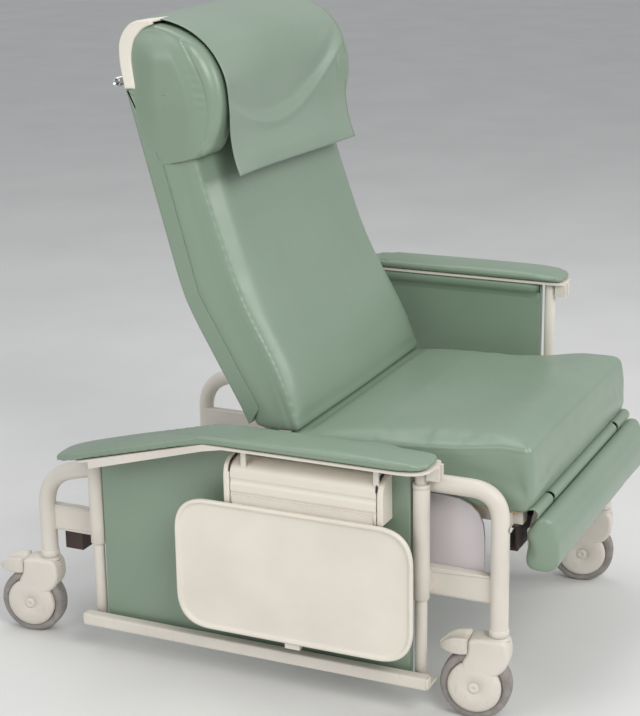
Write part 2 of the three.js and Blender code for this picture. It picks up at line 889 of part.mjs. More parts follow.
function wheelHub() {
  const half = hubWide / 2;
  const bore = axleR + 0.5;
  const profile = [
    [bore, -half - 1],
    [13, -half - 1],
    [15, -half + 2],
    [hubR - 4, -half + 1],
    [hubR, -half + 3],
    [hubR, half - 3],
    [hubR - 4, half - 1],
    [15, half - 2],
    [13, half + 1],
    [bore, half + 1],
  ];
  return turnedX(profile, trail, wheelR, wheelSides);
}

function caster(side, endSign, name) {
  const group = new THREE.Group();
  group.position.set(side * frameX, endSign * legY, 0);
  group.rotation.z = THREE.MathUtils.degToRad(swivel[name] * -side);
  addMesh(group, `caster_housing_${name}`, casterHousing(), ivoryPlastic);
  addMesh(group, `caster_pedal_${name}`, casterPedal(), ivoryPlastic);
  addMesh(group, `wheel_hub_${name}`, wheelHub(), ivoryPlastic);
  addMesh(group, `tyre_${name}`, tyre(), greyRubber);
  return group;
}

// ---------------------------------------------------------------- the chair

const chair = new THREE.Group();

for (const side of [RIGHT, LEFT]) {
  const name = sideName(side);
  addMesh(chair, `side_frame_${name}`, sideFrame(side), paintedSteel);
  addMesh(chair, `sleeve_front_${name}`, postSleeve(side, -postY, frontSleeveTopZ), paintedSteel);
  addMesh(chair, `sleeve_rear_${name}`, postSleeve(side, postY, rearSleeveTopZ), paintedSteel);
  addMesh(chair, `seat_shield_${name}`, seatShield(side), palePlastic);
  addMesh(chair, `seat_rail_${name}`, seatRail(side), paintedSteel);
  addMesh(chair, `back_rail_${name}`, backRail(side), paintedSteel);
  addMesh(chair, `head_wing_${name}`, headWing(side), greenVinyl);
  chair.add(caster(side, -1, `front_${name}`), caster(side, 1, `rear_${name}`));
}

addMesh(chair, "front_channel", frontChannel(), darkSteel);
addMesh(chair, "rear_channel", rearChannel(), darkSteel);
addMesh(chair, "seat_board", seatBoard(), plywood);
addMesh(chair, "seat_cushion", seatCushion(), greenVinyl);
const legRod = barXRound(legRodR, [-262, 262], legPivot.y, legPivot.z, 12);
addMesh(chair, "legrest_rod", legRod, brightSteel);
addMesh(chair, "legrest_frame", legrestFrame(), paintedSteel);
addMesh(chair, "legrest_pad", legrestPad(), greenVinyl);
addMesh(chair, "back_board", backBoard(), plywood);
addMesh(chair, "back_rear_cover", backRearCover(), greenVinyl);
addMesh(chair, "back_cushion", backCushion(), greenVinyl);
addMesh(chair, "back_cap", backCap(), ivoryPlastic);
addMesh(chair, "push_bar", pushBar(), brightSteel);
addMesh(chair, "head_cover", headCover(), greenVinyl);
addMesh(chair, "gas_spring_cylinder", springCylinder(), darkSteel);
addMesh(chair, "gas_spring_rod", springRod(), brightSteel);

// The right arm stands lowered and carries the tray; the left arm stands raised.
const rightArm = arm(RIGHT);
addMesh(rightArm, "tray_housing", trayHousing(), ivoryPlastic);
const tray = new THREE.Group();
addMesh(tray, "tray_bracket", trayBracket(), paintedSteel);
addMesh(tray, "side_tray", sideTray(), ivoryPlastic);
rightArm.add(tray);
const leftArm = arm(LEFT);
leftArm.position.z = armTravel;
chair.add(rightArm, leftArm);

// Stand the chair on the floor with its footprint's middle at the origin.
const reach = new THREE.Box3().setFromObject(chair, true);
chair.position.set(0, -(reach.min.y + reach.max.y) / 2, -reach.min.z);

export default chair;
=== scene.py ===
"""The looks of a drop-arm patient recliner chair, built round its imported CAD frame.

Shapes are written in millimetres in the chair's design frame: +Z up, the front towards -Y, x = 0 in the
middle, y = 0 midway between the legs. at() turns such a point into the row frame, in metres.
"""

import json
import math

import bmesh
import bpy
import numpy as np
from mathutils import Matrix, Vector


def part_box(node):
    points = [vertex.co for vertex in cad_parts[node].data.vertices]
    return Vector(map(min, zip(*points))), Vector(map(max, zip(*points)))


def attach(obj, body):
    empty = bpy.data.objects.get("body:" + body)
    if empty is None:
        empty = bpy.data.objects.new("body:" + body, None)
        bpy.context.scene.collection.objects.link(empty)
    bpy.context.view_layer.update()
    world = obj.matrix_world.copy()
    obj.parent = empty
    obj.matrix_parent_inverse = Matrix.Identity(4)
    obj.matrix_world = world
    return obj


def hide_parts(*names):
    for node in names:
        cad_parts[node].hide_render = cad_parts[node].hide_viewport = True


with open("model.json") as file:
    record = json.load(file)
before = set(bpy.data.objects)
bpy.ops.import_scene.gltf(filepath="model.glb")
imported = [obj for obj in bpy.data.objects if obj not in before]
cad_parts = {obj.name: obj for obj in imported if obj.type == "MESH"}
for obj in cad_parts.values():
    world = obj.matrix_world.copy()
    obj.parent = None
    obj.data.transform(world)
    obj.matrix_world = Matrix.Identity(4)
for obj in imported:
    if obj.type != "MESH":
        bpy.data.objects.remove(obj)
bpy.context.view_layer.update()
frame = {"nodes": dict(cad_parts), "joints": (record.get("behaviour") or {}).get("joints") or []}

MM = 0.001
RIGHT, LEFT = -1, 1
SIDES = {"right": RIGHT, "left": LEFT}


def middle(node):
    low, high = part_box(node)
    return (low + high) / 2


# The side frames are even in front of and behind y = 0 of the design frame.
SHIFT_Y = middle("side_frame_right").y


def at(x, y, z):
    return Vector((x * MM, y * MM + SHIFT_Y, z * MM))


def span(node, axis):
    """The lowest and highest place of a CAD node on an axis, in design millimetres."""
    low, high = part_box(node)
    shift = SHIFT_Y if axis == 1 else 0
    return (low[axis] - shift) / MM, (high[axis] - shift) / MM


# ---------------------------------------------------------------- materials


def node_material(name):
    material = bpy.data.materials.new(name)
    material.use_nodes = True
    nodes = material.node_tree.nodes
    return material, nodes, material.node_tree.links, nodes["Principled BSDF"]


def rgb(r, g, b):
    """A display colour, from 0 to 255, as a linear colour."""
    linear = [((c / 255 + 0.055) / 1.055) ** 2.4 if c > 10 else c / 255 / 12.92 for c in (r, g, b)]
    return (*linear, 1.0)


class Maker:
    """Adds texture nodes to one material, all in the object's own coordinates, in metres."""

    def __init__(self, name):
        self.material, self.nodes, self.links, self.shader = node_material(name)
        self.place = self.nodes.new("ShaderNodeTexCoord").outputs["Object"]

    def noise(self, size, detail=3.0, roughness=0.5, stretch=(1, 1, 1)):
        """Noise whose lumps are about size millimetres across."""
        mapping = self.nodes.new("ShaderNodeMapping")
        mapping.inputs["Scale"].default_value = stretch
        self.links.new(self.place, mapping.inputs["Vector"])
        texture = self.nodes.new("ShaderNodeTexNoise")
        texture.inputs["Scale"].default_value = 1 / (size * MM)
        texture.inputs["Detail"].default_value = detail
        texture.inputs["Roughness"].default_value = roughness
        self.links.new(mapping.outputs["Vector"], texture.inputs["Vector"])
        return texture.outputs["Fac"]

    def cells(self, size, feature="F1"):
        texture = self.nodes.new("ShaderNodeTexVoronoi")
        texture.feature = feature
        texture.inputs["Scale"].default_value = 1 / (size * MM)
        self.links.new(self.place, texture.inputs["Vector"])
        return texture.outputs["Distance"]

    def ramp(self, value, *stops):
        """Colours or grey values at places along a value."""
        ramp = self.nodes.new("ShaderNodeValToRGB")
        while len(ramp.color_ramp.elements) < len(stops):
            ramp.color_ramp.elements.new(1.0)
        for element, (position, colour) in zip(ramp.color_ramp.elements, stops):
            element.position = position
            element.color = colour if isinstance(colour, tuple) else (colour, colour, colour, 1.0)
        self.links.new(value, ramp.inputs["Fac"])
        return ramp.outputs["Color"]

    def mix(self, factor, a, b, how="MIX"):
        mix = self.nodes.new("ShaderNodeMix")
        mix.data_type = "RGBA"
        mix.blend_type = how
        for socket, value in ((mix.inputs[0], factor), (mix.inputs[6], a), (mix.inputs[7], b)):
            if isinstance(value, (float, tuple)):
                socket.default_value = value
            else:
                self.links.new(value, socket)
        return mix.outputs[2]

    def bump(self, height, strength, distance, before=None):
        bump = self.nodes.new("ShaderNodeBump")
        bump.inputs["Strength"].default_value = strength
        bump.inputs["Distance"].default_value = distance * MM
        self.links.new(height, bump.inputs["Height"])
        if before is not None:
            self.links.new(before, bump.inputs["Normal"])
        return bump.outputs["Normal"]

    def height(self):
        """The z place, in metres."""
        split = self.nodes.new("ShaderNodeSeparateXYZ")
        self.links.new(self.place, split.inputs["Vector"])
        return split.outputs["Z"]

    def finish(self, colour, roughness, normal=None, **fixed):
        self.links.new(colour, self.shader.inputs["Base Color"])
        self.links.new(roughness, self.shader.inputs["Roughness"])
        if normal is not None:
            self.links.new(normal, self.shader.inputs["Normal"])
        for socket, value in fixed.items():
            self.shader.inputs[socket.replace("_", " ")].default_value = value
        return self.material


def vinyl(name, light, dark):
    """Upholstery vinyl: a fine pebbled grain, faint stretch marks, and a soft satin gloss."""
    m = Maker(name)
    mottle = m.ramp(m.noise(220, 3), (0.3, rgb(*dark)), (0.72, rgb(*light)))
    speck = m.ramp(m.noise(1.3, 2), (0.35, 0.95), (0.65, 1.0))
    colour = m.mix(1.0, mottle, speck, "MULTIPLY")
    rough = m.ramp(m.noise(40, 4), (0.3, 0.33), (0.75, 0.42))
    grain = m.bump(m.cells(1.5, "SMOOTH_F1"), 0.12, 0.2)
    pores = m.bump(m.noise(0.7, 2), 0.1, 0.1, grain)
    stretch = m.bump(m.noise(120, 2, 0.4), 0.12, 3.0, pores)
    return m.finish(colour, rough, stretch, Specular_IOR_Level=0.5, Coat_Weight=0.25, Coat_Roughness=0.3)


def painted(name, light, dark, metal=0.0, scuffs=True):
    """Powder coat or moulded plastic: faint orange peel, uneven gloss, and scuffs low down."""
    m = Maker(name)
    base = m.ramp(m.noise(160, 3), (0.3, rgb(*dark)), (0.7, rgb(*light)))
    if scuffs:
        marks = m.ramp(m.noise(9, 6, 0.72, (1, 1, 0.25)), (0.60, 0.0), (0.72, 1.0))
        low = m.ramp(m.height(), (0.04, 1.0), (0.32, 0.12))
        worn = m.mix(1.0, marks, low, "MULTIPLY")
        base = m.mix(m.mix(1.0, worn, (0.35, 0.35, 0.35, 1.0), "MULTIPLY"), base, rgb(150, 140, 126))
    rough = m.ramp(m.noise(22, 4), (0.3, 0.34), (0.72, 0.5))
    peel = m.bump(m.noise(2.2, 2), 0.14, 0.12)
    return m.finish(base, rough, peel, Metallic=metal, Specular_IOR_Level=0.45)


def moulded(name, light, dark):
    """Moulded plastic with a fine spark-eroded grain."""
    m = Maker(name)
    base = m.ramp(m.noise(120, 3), (0.3, rgb(*dark)), (0.72, rgb(*light)))
    rough = m.ramp(m.noise(30, 4), (0.3, 0.38), (0.72, 0.52))
    grain = m.bump(m.noise(0.8, 3), 0.2, 0.1)
    wave = m.bump(m.noise(120, 1), 0.1, 1.5, grain)
    return m.finish(base, rough, wave, Specular_IOR_Level=0.48, Subsurface_Weight=0.02)


def rubber(name, light, dark):
    m = Maker(name)
    base = m.ramp(m.noise(14, 5), (0.3, rgb(*dark)), (0.7, rgb(*light)))
    dust = m.ramp(m.noise(4, 4), (0.55, 0.0), (0.8, 0.35))
    colour = m.mix(dust, base, rgb(176, 170, 160))
    rough = m.ramp(m.noise(8, 3), (0.3, 0.62), (0.7, 0.8))
    return m.finish(colour, rough, m.bump(m.noise(1.1, 3), 0.3, 0.15), Specular_IOR_Level=0.3)


def bright(name, tone, low_rough, high_rough, along):
    """Plated or ground steel, with fine lines along one direction."""
    m = Maker(name)
    lines = m.noise(1.2, 3, 0.6, along)
    base = m.ramp(lines, (0.3, rgb(*[c - 18 for c in tone])), (0.7, rgb(*tone)))
    rough = m.ramp(m.noise(7, 3), (0.3, low_rough), (0.7, high_rough))
    return m.finish(base, rough, m.bump(lines, 0.12, 0.05), Metallic=1.0)


def plywood(name):
    m = Maker(name)
    grain = m.noise(9, 5, 0.65, (0.08, 1.0, 1.0))
    base = m.ramp(grain, (0.3, rgb(140, 104, 66)), (0.5, rgb(184, 148, 104)), (0.7, rgb(200, 168, 122)))
    rough = m.ramp(grain, (0.3, 0.75), (0.7, 0.6))
    return m.finish(base, rough, m.bump(grain, 0.3, 0.3))


GREEN = vinyl("green_vinyl", (134, 153, 134), (128, 147, 128))
SHEET = vinyl("green_sheet_vinyl", (138, 155, 138), (131, 149, 132))
STEEL = painted("ivory_powder_coat", (224, 218, 208), (212, 205, 194), 0.0)
IVORY = moulded("ivory_moulding", (231, 225, 212), (222, 215, 203))
CASTER = painted("ivory_caster_moulding", (224, 218, 208), (208, 201, 190), 0.0)
LILAC = moulded("pale_shield", (210, 203, 205), (200, 192, 195))
BROWN = painted("dark_brown_paint", (74, 58, 56), (58, 44, 43), 0.15, scuffs=False)
TREAD = rubber("grey_tread", (158, 152, 148), (134, 129, 125))
CHROME = bright("plated_steel", (214, 216, 218), 0.16, 0.3, (0.05, 1, 1))
GROUND = bright("ground_steel", (180, 182, 184), 0.28, 0.45, (1, 0.05, 1))
WOOD = plywood("plywood")
# Painted shade: a near-black moulding that fills the housing's slot gaps in place of their shade.
SHADOW = moulded("painted_slot_shade", (48, 40, 36), (38, 31, 28))

# ---------------------------------------------------------------- mesh helpers


def piece(name, verts, faces, material, body, slot, nodes=(), smooth=True, metres=False):
    """A mesh object from design millimetres, dressed, riding on a body and standing for nodes."""
    mesh = bpy.data.meshes.new(name)
    points = [Vector(v) if metres else at(*v) for v in verts]
    mesh.from_pydata([tuple(p) for p in points], [], faces)
    mesh.validate()
    bm = bmesh.new()
    bm.from_mesh(mesh)
    bmesh.ops.recalc_face_normals(bm, faces=bm.faces)
    bm.to_mesh(mesh)
    bm.free()
    obj = bpy.data.objects.new(name, mesh)
    bpy.context.scene.collection.objects.link(obj)
    dress(obj, material, smooth)
    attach(obj, body)
    if nodes:
        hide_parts(*nodes)
    return obj


def dress(obj, material, smooth=True):
    obj.data.materials.clear()
    obj.data.materials.append(material)
    for polygon in obj.data.polygons:
        polygon.use_smooth = smooth


def rounded(points, parts=8):
    """A closed outline through points (a, b) or (a, b, corner reach), its corners quadratic curves."""
    loop = []
    total = len(points)
    for i, point in enumerate(points):
        here = np.array(point[:2], float)
        reach = point[2] if len(point) > 2 else 0
        if not reach:
            loop.append(here)
            continue
        ends = []
        for other in (points[i - 1], points[(i + 1) % total]):
            way = np.array(other[:2], float) - here
            long = np.linalg.norm(way)
            ends.append(here + way / long * min(reach, long * 0.48))
        for k in range(parts + 1):
            t = k / parts
            loop.append((1 - t) ** 2 * ends[0] + 2 * t * (1 - t) * here + t * t * ends[1])
    return np.array(loop)


def rectangle(a_ends, b_ends, reach, parts=4):
    """A rectangle's outline, its corners rounded off."""
    (a0, a1), (b0, b1) = a_ends, b_ends
    return rounded([(a0, b0, reach), (a1, b0, reach), (a1, b1, reach), (a0, b1, reach)], parts)


def even(loop, step):
    """The same closed outline with points every step millimetres or so, keeping its corners."""
    out = []
    for i, here in enumerate(loop):
        after = loop[(i + 1) % len(loop)]
        parts = max(1, int(round(np.linalg.norm(after - here) / step)))
        out.extend(here + (after - here) * k / parts for k in range(parts))
    return np.array(out)


def anticlockwise(loop):
    a, b = loop[:, 0], loop[:, 1]
    area = np.sum(a * np.roll(b, -1) - np.roll(a, -1) * b)
    return loop if area > 0 else loop[::-1]


def inset(loop, distance):
    """A closed anticlockwise outline moved inwards; distance may differ from point to point."""
    before, after = np.roll(loop, 1, 0), np.roll(loop, -1, 0)
    first, second = loop - before, after - loop
    for edge in (first, second):
        edge /= np.maximum(np.linalg.norm(edge, axis=1)[:, None], 1e-9)
    inward = np.stack([-first[:, 1] - second[:, 1], first[:, 0] + second[:, 0]], 1)
    long = np.maximum(np.linalg.norm(inward, axis=1)[:, None], 1e-6)
    inward /= long
    stretch = np.minimum(2 / long, 1.6)
    return loop + inward * stretch * np.reshape(distance, (-1, 1))


def rings_to_mesh(rings, close=True):
    """Quads between equal rings, with the first and last ring filled."""
    count = len(rings[0])
    verts = [tuple(p) for ring in rings for p in ring]
    faces = []
    for k in range(len(rings) - 1):
        for i in range(count):
            j = (i + 1) % count
            low, high = k * count, (k + 1) * count
            faces.append((low + i, low + j, high + j, high + i))
    if close:
        faces.append(tuple(range(count))[::-1])
        last = (len(rings) - 1) * count
        faces.append(tuple(last + i for i in range(count)))
    return verts, faces


def axis_point(axis, loop_point, depth):
    a, b = loop_point
    return {"x": (depth, a, b), "y": (a, depth, b), "z": (a, b, depth)}[axis]


def slab(outline, axis, ends, edge=(3, 3), dome=(0, 0), parts=5, centre=None):
    """An outline pushed along an axis between two places, with rounded edges and domed ends.

    edge is the edge radius at each end, a number or one for each outline point. dome is how far each
    end's middle stands out. Gives rings for rings_to_mesh."""
    loop = anticlockwise(np.array(outline, float))
    middle_point = loop.mean(0) if centre is None else np.array(centre, float)
    low, high = ends
    halves = []
    for place, out, radius, rise in ((low, -1, edge[0], dome[0]), (high, 1, edge[1], dome[1])):
        radius = np.broadcast_to(np.array(radius, float), (len(loop),))
        half = []
        for k in range(parts + 1):
            turn = math.pi / 2 * k / parts
            ring = inset(loop, radius * (1 - math.cos(turn)))
            depth = place - out * radius * (1 - math.sin(turn))
            half.append([axis_point(axis, p, d) for p, d in zip(ring, depth)])
        if not rise:
            half.append([axis_point(axis, p, place) for p in inset(loop, radius + 0.5)])
        inner = inset(loop, radius)
        for k in range(1, 7 if rise else 1):
            share = 0.92 * k / 6
            ring = inner + (middle_point - inner) * share
            depth = place + out * rise * (1 - (1 - share) ** 2)
            half.append([axis_point(axis, p, depth) for p in ring])
        halves.append(half)
    return halves[0][::-1] + halves[1]


def slab_piece(name, outline, axis, ends, material, body, slot, nodes=(), **shape):
    verts, faces = rings_to_mesh(slab(outline, axis, ends, **shape))
    return piece(name, verts, faces, material, body, slot, nodes)


def frames_along(path):
    """Each path point with two directions square to the path that don't twist along it."""
    path = [np.array(p, float) for p in path]
    tangents = [path[min(i + 1, len(path) - 1)] - path[max(i - 1, 0)] for i in range(len(path))]
    tangents = [t / np.linalg.norm(t) for t in tangents]
    start = np.array((1.0, 0, 0)) if abs(tangents[0][0]) < 0.8 else np.array((0, 1.0, 0))
    side = start - tangents[0] * start.dot(tangents[0])
    out = []
    for point, tangent in zip(path, tangents):
        side = side - tangent * side.dot(tangent)
        side /= np.linalg.norm(side)
        out.append((point, side, np.cross(tangent, side)))
    return out


def tube(path, radius, wall=0.0, sides=28, soft=1.0):
    """A round bar or tube along a path, its end edges softened, hollow if it has a wall."""
    steps = frames_along(path)
    start_way = np.cross(steps[0][1], steps[0][2])
    end_way = np.cross(steps[-1][1], steps[-1][2])
    circle = [(math.cos(2 * math.pi * k / sides), math.sin(2 * math.pi * k / sides)) for k in range(sides)]

    def ring(step, r, push=0):
        point, a, b = step
        return [point + push + r * (c * a + s * b) for c, s in circle]

    rings = [ring(steps[0], radius - soft), ring(steps[0], radius, start_way * soft)]
    rings += [ring(step, radius) for step in steps[1:-1]]
    rings += [ring(steps[-1], radius, -end_way * soft), ring(steps[-1], radius - soft)]
    if not wall:
        return rings_to_mesh(rings)
    bore = radius - wall
    rings += [ring(step, bore) for step in reversed(steps)]
    verts, faces = rings_to_mesh(rings, close=False)
    count, last = sides, (len(rings) - 1) * sides
    faces += [(last + i, last + (i + 1) % count, (i + 1) % count, i) for i in range(count)]
    return verts, faces


def turned(profile, centre, sides=64, axis=(1, 0, 0)):
    """A closed profile of (radius, depth) turned about an axis through a centre."""
    axis = np.array(axis, float)
    a = np.array((0, 1.0, 0)) if abs(axis[0]) > 0.5 else np.array((1.0, 0, 0))
    b = np.cross(axis, a)
    centre = np.array(centre, float)
    rings = []
    for k in range(sides):
        turn = 2 * math.pi * k / sides
        way = math.cos(turn) * a + math.sin(turn) * b
        rings.append([centre + r * way + d * axis for r, d in profile])
    count = len(profile)
    verts = [tuple(p) for ring in rings for p in ring]
    faces = []
    for k in range(sides):
        low, high = k * count, ((k + 1) % sides) * count
        for i in range(count):
            j = (i + 1) % count
            faces.append((low + i, low + j, high + j, high + i))
    return verts, faces


def merged(*parts):
    """Several (verts, faces) as one."""
    verts, faces = [], []
    for part_verts, part_faces in parts:
        faces += [tuple(i + len(verts) for i in face) for face in part_faces]
        verts += [tuple(v) for v in part_verts]
    return verts, faces


def shaped(name, part, material, body, slot, nodes=()):
    return piece(name, *part, material, body, slot, nodes)


def round_bar(a, b, radius, wall=0.0, sides=28, soft=0.8):
    a, b = np.array(a, float), np.array(b, float)
    return tube([a + (b - a) * k / 3 for k in range(4)], radius, wall, sides, soft)


def crisp(obj, width=0.8, angle=35):
    """Softens a CAD node's hard edges with a small bevel, and shades it smooth."""
    bevel = obj.modifiers.new("edges", "BEVEL")
    bevel.width = width * MM
    bevel.segments = 2
    bevel.limit_method = "ANGLE"
    bevel.angle_limit = math.radians(angle)
    bevel.harden_normals = True
    for polygon in obj.data.polygons:
        polygon.use_smooth = True


def coordinates(mesh):
    co = np.zeros(len(mesh.vertices) * 3, np.float32)
    mesh.vertices.foreach_get("co", co)
    return co.reshape(-1, 3).astype(float)


def set_coordinates(mesh, co):
    mesh.vertices.foreach_set("co", co.astype(np.float32).ravel())
    mesh.update()


def relax(mesh, rounds, share=0.5, keep=None):
    """Evens out a mesh's surface by moving each point towards its neighbours' middle."""
    co = coordinates(mesh)
    edges = np.array([e.vertices[:] for e in mesh.edges])
    count = np.bincount(edges.ravel(), minlength=len(co)).astype(float)[:, None]
    for _ in range(rounds):
        total = np.zeros_like(co)
        np.add.at(total, edges[:, 0], co[edges[:, 1]])
        np.add.at(total, edges[:, 1], co[edges[:, 0]])
        moved = co + (total / count - co) * share
        co = moved if keep is None else co + (moved - co) * keep
    set_coordinates(mesh, co)


def replace_mesh(obj, how):
    """Applies one modifier that how() adds, and keeps the object's material."""
    how(obj)
    graph = bpy.context.evaluated_depsgraph_get()
    made = bpy.data.meshes.new_from_object(obj.evaluated_get(graph))
    obj.modifiers.clear()
    obj.data = made
    for polygon in made.polygons:
        polygon.use_smooth = True


def plump(obj, voxel=6.0, pressure=4.0, cap=12.0, held=None, relaxing=2):
    """Swells a closed mesh as stuffing does: even quads, cloth under pressure, a cap on the travel.

    held(co) gives, from 0 to 1, how firmly each point is held, as where a cushion rests on its board."""

    def even_quads(o):
        modifier = o.modifiers.new("even", "REMESH")
        modifier.mode = "VOXEL"
        modifier.voxel_size = voxel * MM

    def halve(o):
        modifier = o.modifiers.new("fine", "SUBSURF")
        modifier.levels = modifier.render_levels = 1

    replace_mesh(obj, even_quads)
    relax(obj.data, relaxing)
    start = coordinates(obj.data)
    hold = np.zeros(len(start)) if held is None else np.clip(held(start), 0, 1)
    group = obj.vertex_groups.new(name="held")
    for i in np.where(hold > 0.02)[0]:
        group.add([int(i)], float(hold[i]), "REPLACE")
    cloth = obj.modifiers.new("cloth", "CLOTH")
    settings = cloth.settings
    settings.quality = 4
    settings.mass = 0.25
    settings.tension_stiffness = settings.compression_stiffness = 25
    settings.bending_stiffness = 2.0
    settings.use_pressure = True
    settings.uniform_pressure_force = pressure
    settings.effector_weights.gravity = 0
    if (hold > 0.02).any():
        settings.vertex_group_mass = "held"
    cloth.point_cache.frame_start, cloth.point_cache.frame_end = 1, 20
    for number in range(1, 21):
        bpy.context.scene.frame_set(number)
    graph = bpy.context.evaluated_depsgraph_get()
    swollen = coordinates(obj.evaluated_get(graph).data)
    obj.modifiers.clear()
    obj.vertex_groups.clear()
    bpy.context.scene.frame_set(1)
    travel = swollen - start
    long = np.linalg.norm(travel, axis=1)[:, None]
    limit = cap * MM
    travel *= limit * np.tanh(long / limit) / np.maximum(long, 1e-9)
    set_coordinates(obj.data, start + travel * (1 - hold[:, None]))
    relax(obj.data, 3)
    replace_mesh(obj, halve)


def normals(mesh):
    out = np.zeros(len(mesh.vertices) * 3, np.float32)
    mesh.vertices.foreach_get("normal", out)
    return out.reshape(-1, 3).astype(float)


def press(obj, depth_at):
    """Moves each point along its normal; depth_at(x, y, z in design mm) gives millimetres, inwards."""
    co = coordinates(obj.data)
    out = normals(obj.data)
    x, y, z = co[:, 0] / MM, (co[:, 1] - SHIFT_Y) / MM, co[:, 2] / MM
    depth = depth_at(x, y, z, out)
    set_coordinates(obj.data, co - out * (depth * MM)[:, None])


def groove(distance, width):
    """A rounded groove's share of its depth, by the distance from its middle."""
    return np.exp(-((distance / width) ** 2))


def fit_inside(obj, low, high):
    """Keeps a soft piece's points within limits in design millimetres, None where there is none."""
    co = coordinates(obj.data)
    for axis in range(3):
        shift = SHIFT_Y if axis == 1 else 0
        if low[axis] is not None:
            co[:, axis] = np.maximum(co[:, axis], low[axis] * MM + shift)
        if high[axis] is not None:
            co[:, axis] = np.minimum(co[:, axis], high[axis] * MM + shift)
    set_coordinates(obj.data, co)


def to_line(y, z, line):
    """Distance of points (y, z) from a polyline, in millimetres."""
    best = np.full(len(y), 1e9)
    for (y0, z0), (y1, z1) in zip(line, line[1:]):
        way = np.array((y1 - y0, z1 - z0), float)
        t = np.clip(((y - y0) * way[0] + (z - z0) * way[1]) / way.dot(way), 0, 1)
        best = np.minimum(best, np.hypot(y - y0 - t * way[0], z - z0 - t * way[1]))
    return best


def to_edge(x, y, z, line):
    """Distance of points from a polyline of (x, y, z) and its mirror image, in millimetres."""
    points = np.stack([np.abs(x), y, z], 1)
    best = np.full(len(x), 1e9)
    for a, b in zip(line, line[1:]):
        a, way = np.array(a, float), np.array(b, float) - np.array(a, float)
        t = np.clip((points - a).dot(way) / way.dot(way), 0, 1)
        best = np.minimum(best, np.linalg.norm(points - a - t[:, None] * way, axis=1))
    return best


# ---------------------------------------------------------------- side frames and sleeves

FRAME_X = 319
LEG_Y = 451
TUBE_R = 16
ARCH_TOP_Z = 416.5
ARCH_BEND_Y = 75
FALL = 0.256
LEG_BOTTOM_Z = 155
BAR_Z = 211
BAR_HIGH = 50
POST_X = 349.8
UP = (0, 0, 1)


def bend(a, corner, c, parts=14):
    a, corner, c = (np.array(p, float) for p in (a, corner, c))
    steps = [k / parts for k in range(parts + 1)]
    return [(1 - t) ** 2 * a + 2 * t * (1 - t) * corner + t * t * c for t in steps]


def arch(x):
    """The bent tube's centre line, from the rear leg's foot to the front leg's foot."""
    slope = math.atan(FALL)
    rear_top = ARCH_TOP_Z - FALL * (LEG_Y - ARCH_BEND_Y)
    reach = 80 * math.tan((math.pi / 2 - slope) / 2)

    def along(d):
        return (x, LEG_Y - d * math.cos(slope), rear_top + d * math.sin(slope))

    top_long = (LEG_Y - ARCH_BEND_Y) / math.cos(slope)
    path = [np.array((x, LEG_Y, LEG_BOTTOM_Z)), np.array((x, LEG_Y, LEG_BOTTOM_Z + 12))]
    path += bend((x, LEG_Y, rear_top - reach), (x, LEG_Y, rear_top), along(reach))
    path += bend(along(top_long - 24), (x, ARCH_BEND_Y, ARCH_TOP_Z), (x, ARCH_BEND_Y - 24, ARCH_TOP_Z), 6)
    front = (x, -LEG_Y, ARCH_TOP_Z - 54)
    path += bend((x, -LEG_Y + 54, ARCH_TOP_Z), (x, -LEG_Y, ARCH_TOP_Z), front)
    return path + [np.array((x, -LEG_Y, LEG_BOTTOM_Z + 12)), np.array((x, -LEG_Y, LEG_BOTTOM_Z))]


for name, side in SIDES.items():
    x = side * FRAME_X
    bar_face = rectangle((3 - LEG_Y, LEG_Y - 3), (BAR_Z, BAR_Z + BAR_HIGH), 3)
    bar = slab(bar_face, "x", sorted((side * 300, side * 320)), edge=(2.5, 2.5))
    tube_part = tube(arch(x), TUBE_R, 2.5, 40)
    foot_ring = [(16, -6), (17.6, -5), (17.6, 5), (16, 6), (14, 6), (14, -6)]
    foot_rings = [turned(foot_ring, (x, sign * LEG_Y, LEG_BOTTOM_Z + 8), 40, UP) for sign in (-1, 1)]
    knob = round_bar((x, -LEG_Y - 15, 352), (x, -LEG_Y - 19.5, 352), 5.5, 0, 24, 1.6)
    frame_part = merged(tube_part, rings_to_mesh(bar), *foot_rings, knob)
    shaped(f"side_frame_{name}_fine", frame_part, STEEL, "frame", "painted_steel", [f"side_frame_{name}"])
    for end in ("front", "rear"):
        node = f"sleeve_{end}_{name}"
        low, high = span(node, 2)
        sleeve_y = (middle(node).y - SHIFT_Y) / MM
        post_x = side * POST_X
        pipe = tube([(post_x, sleeve_y, z) for z in np.linspace(low, high, 5)], 14.5, 3.2, 36, 0.8)
        lip_profile = [(14.2, -4), (15.2, -3.4), (15.2, 3.4), (14.2, 4)]
        lip = turned(lip_profile, (post_x, sleeve_y, high - 4.5), 40, UP)
        pad = rectangle((sleeve_y - 7, sleeve_y + 7), (low + 3, BAR_Z + BAR_HIGH - 3), 2, 3)
        weld_pad = rings_to_mesh(slab(pad, "x", sorted((side * 320.4, side * 340)), edge=(1, 1)))
        shaped(f"{node}_fine", merged(pipe, lip, weld_pad), STEEL, "frame", "painted_steel", [node])

# ---------------------------------------------------------------- seat

SEAT_HALF = 294

seat_side = rounded(
    [
        (-37, 368.6, 4),
        (-37, 458, 10),
        (-325, 475, 80),
        (-438, 491, 44),
        (-495, 490, 12),
        (-505, 446, 30),
        (-495, 384, 8),
        (-485, 369.5, 5),
    ],
    8,
)
seat = slab_piece("seat_cushion_soft", seat_side, "x", (-SEAT_HALF + 1.5, SEAT_HALF - 1.5), GREEN, "frame",
                  "upholstery", ["seat_cushion"], edge=(5, 5))


def on_board(co):
    """Held where the cover wraps its board, and where the back's foot rests on the cushion."""
    y, z = (co[:, 1] - SHIFT_Y) / MM, co[:, 2] / MM
    return np.maximum(np.clip((404 - z) / 18, 0, 1), np.clip((y + 90) / 35, 0, 1))


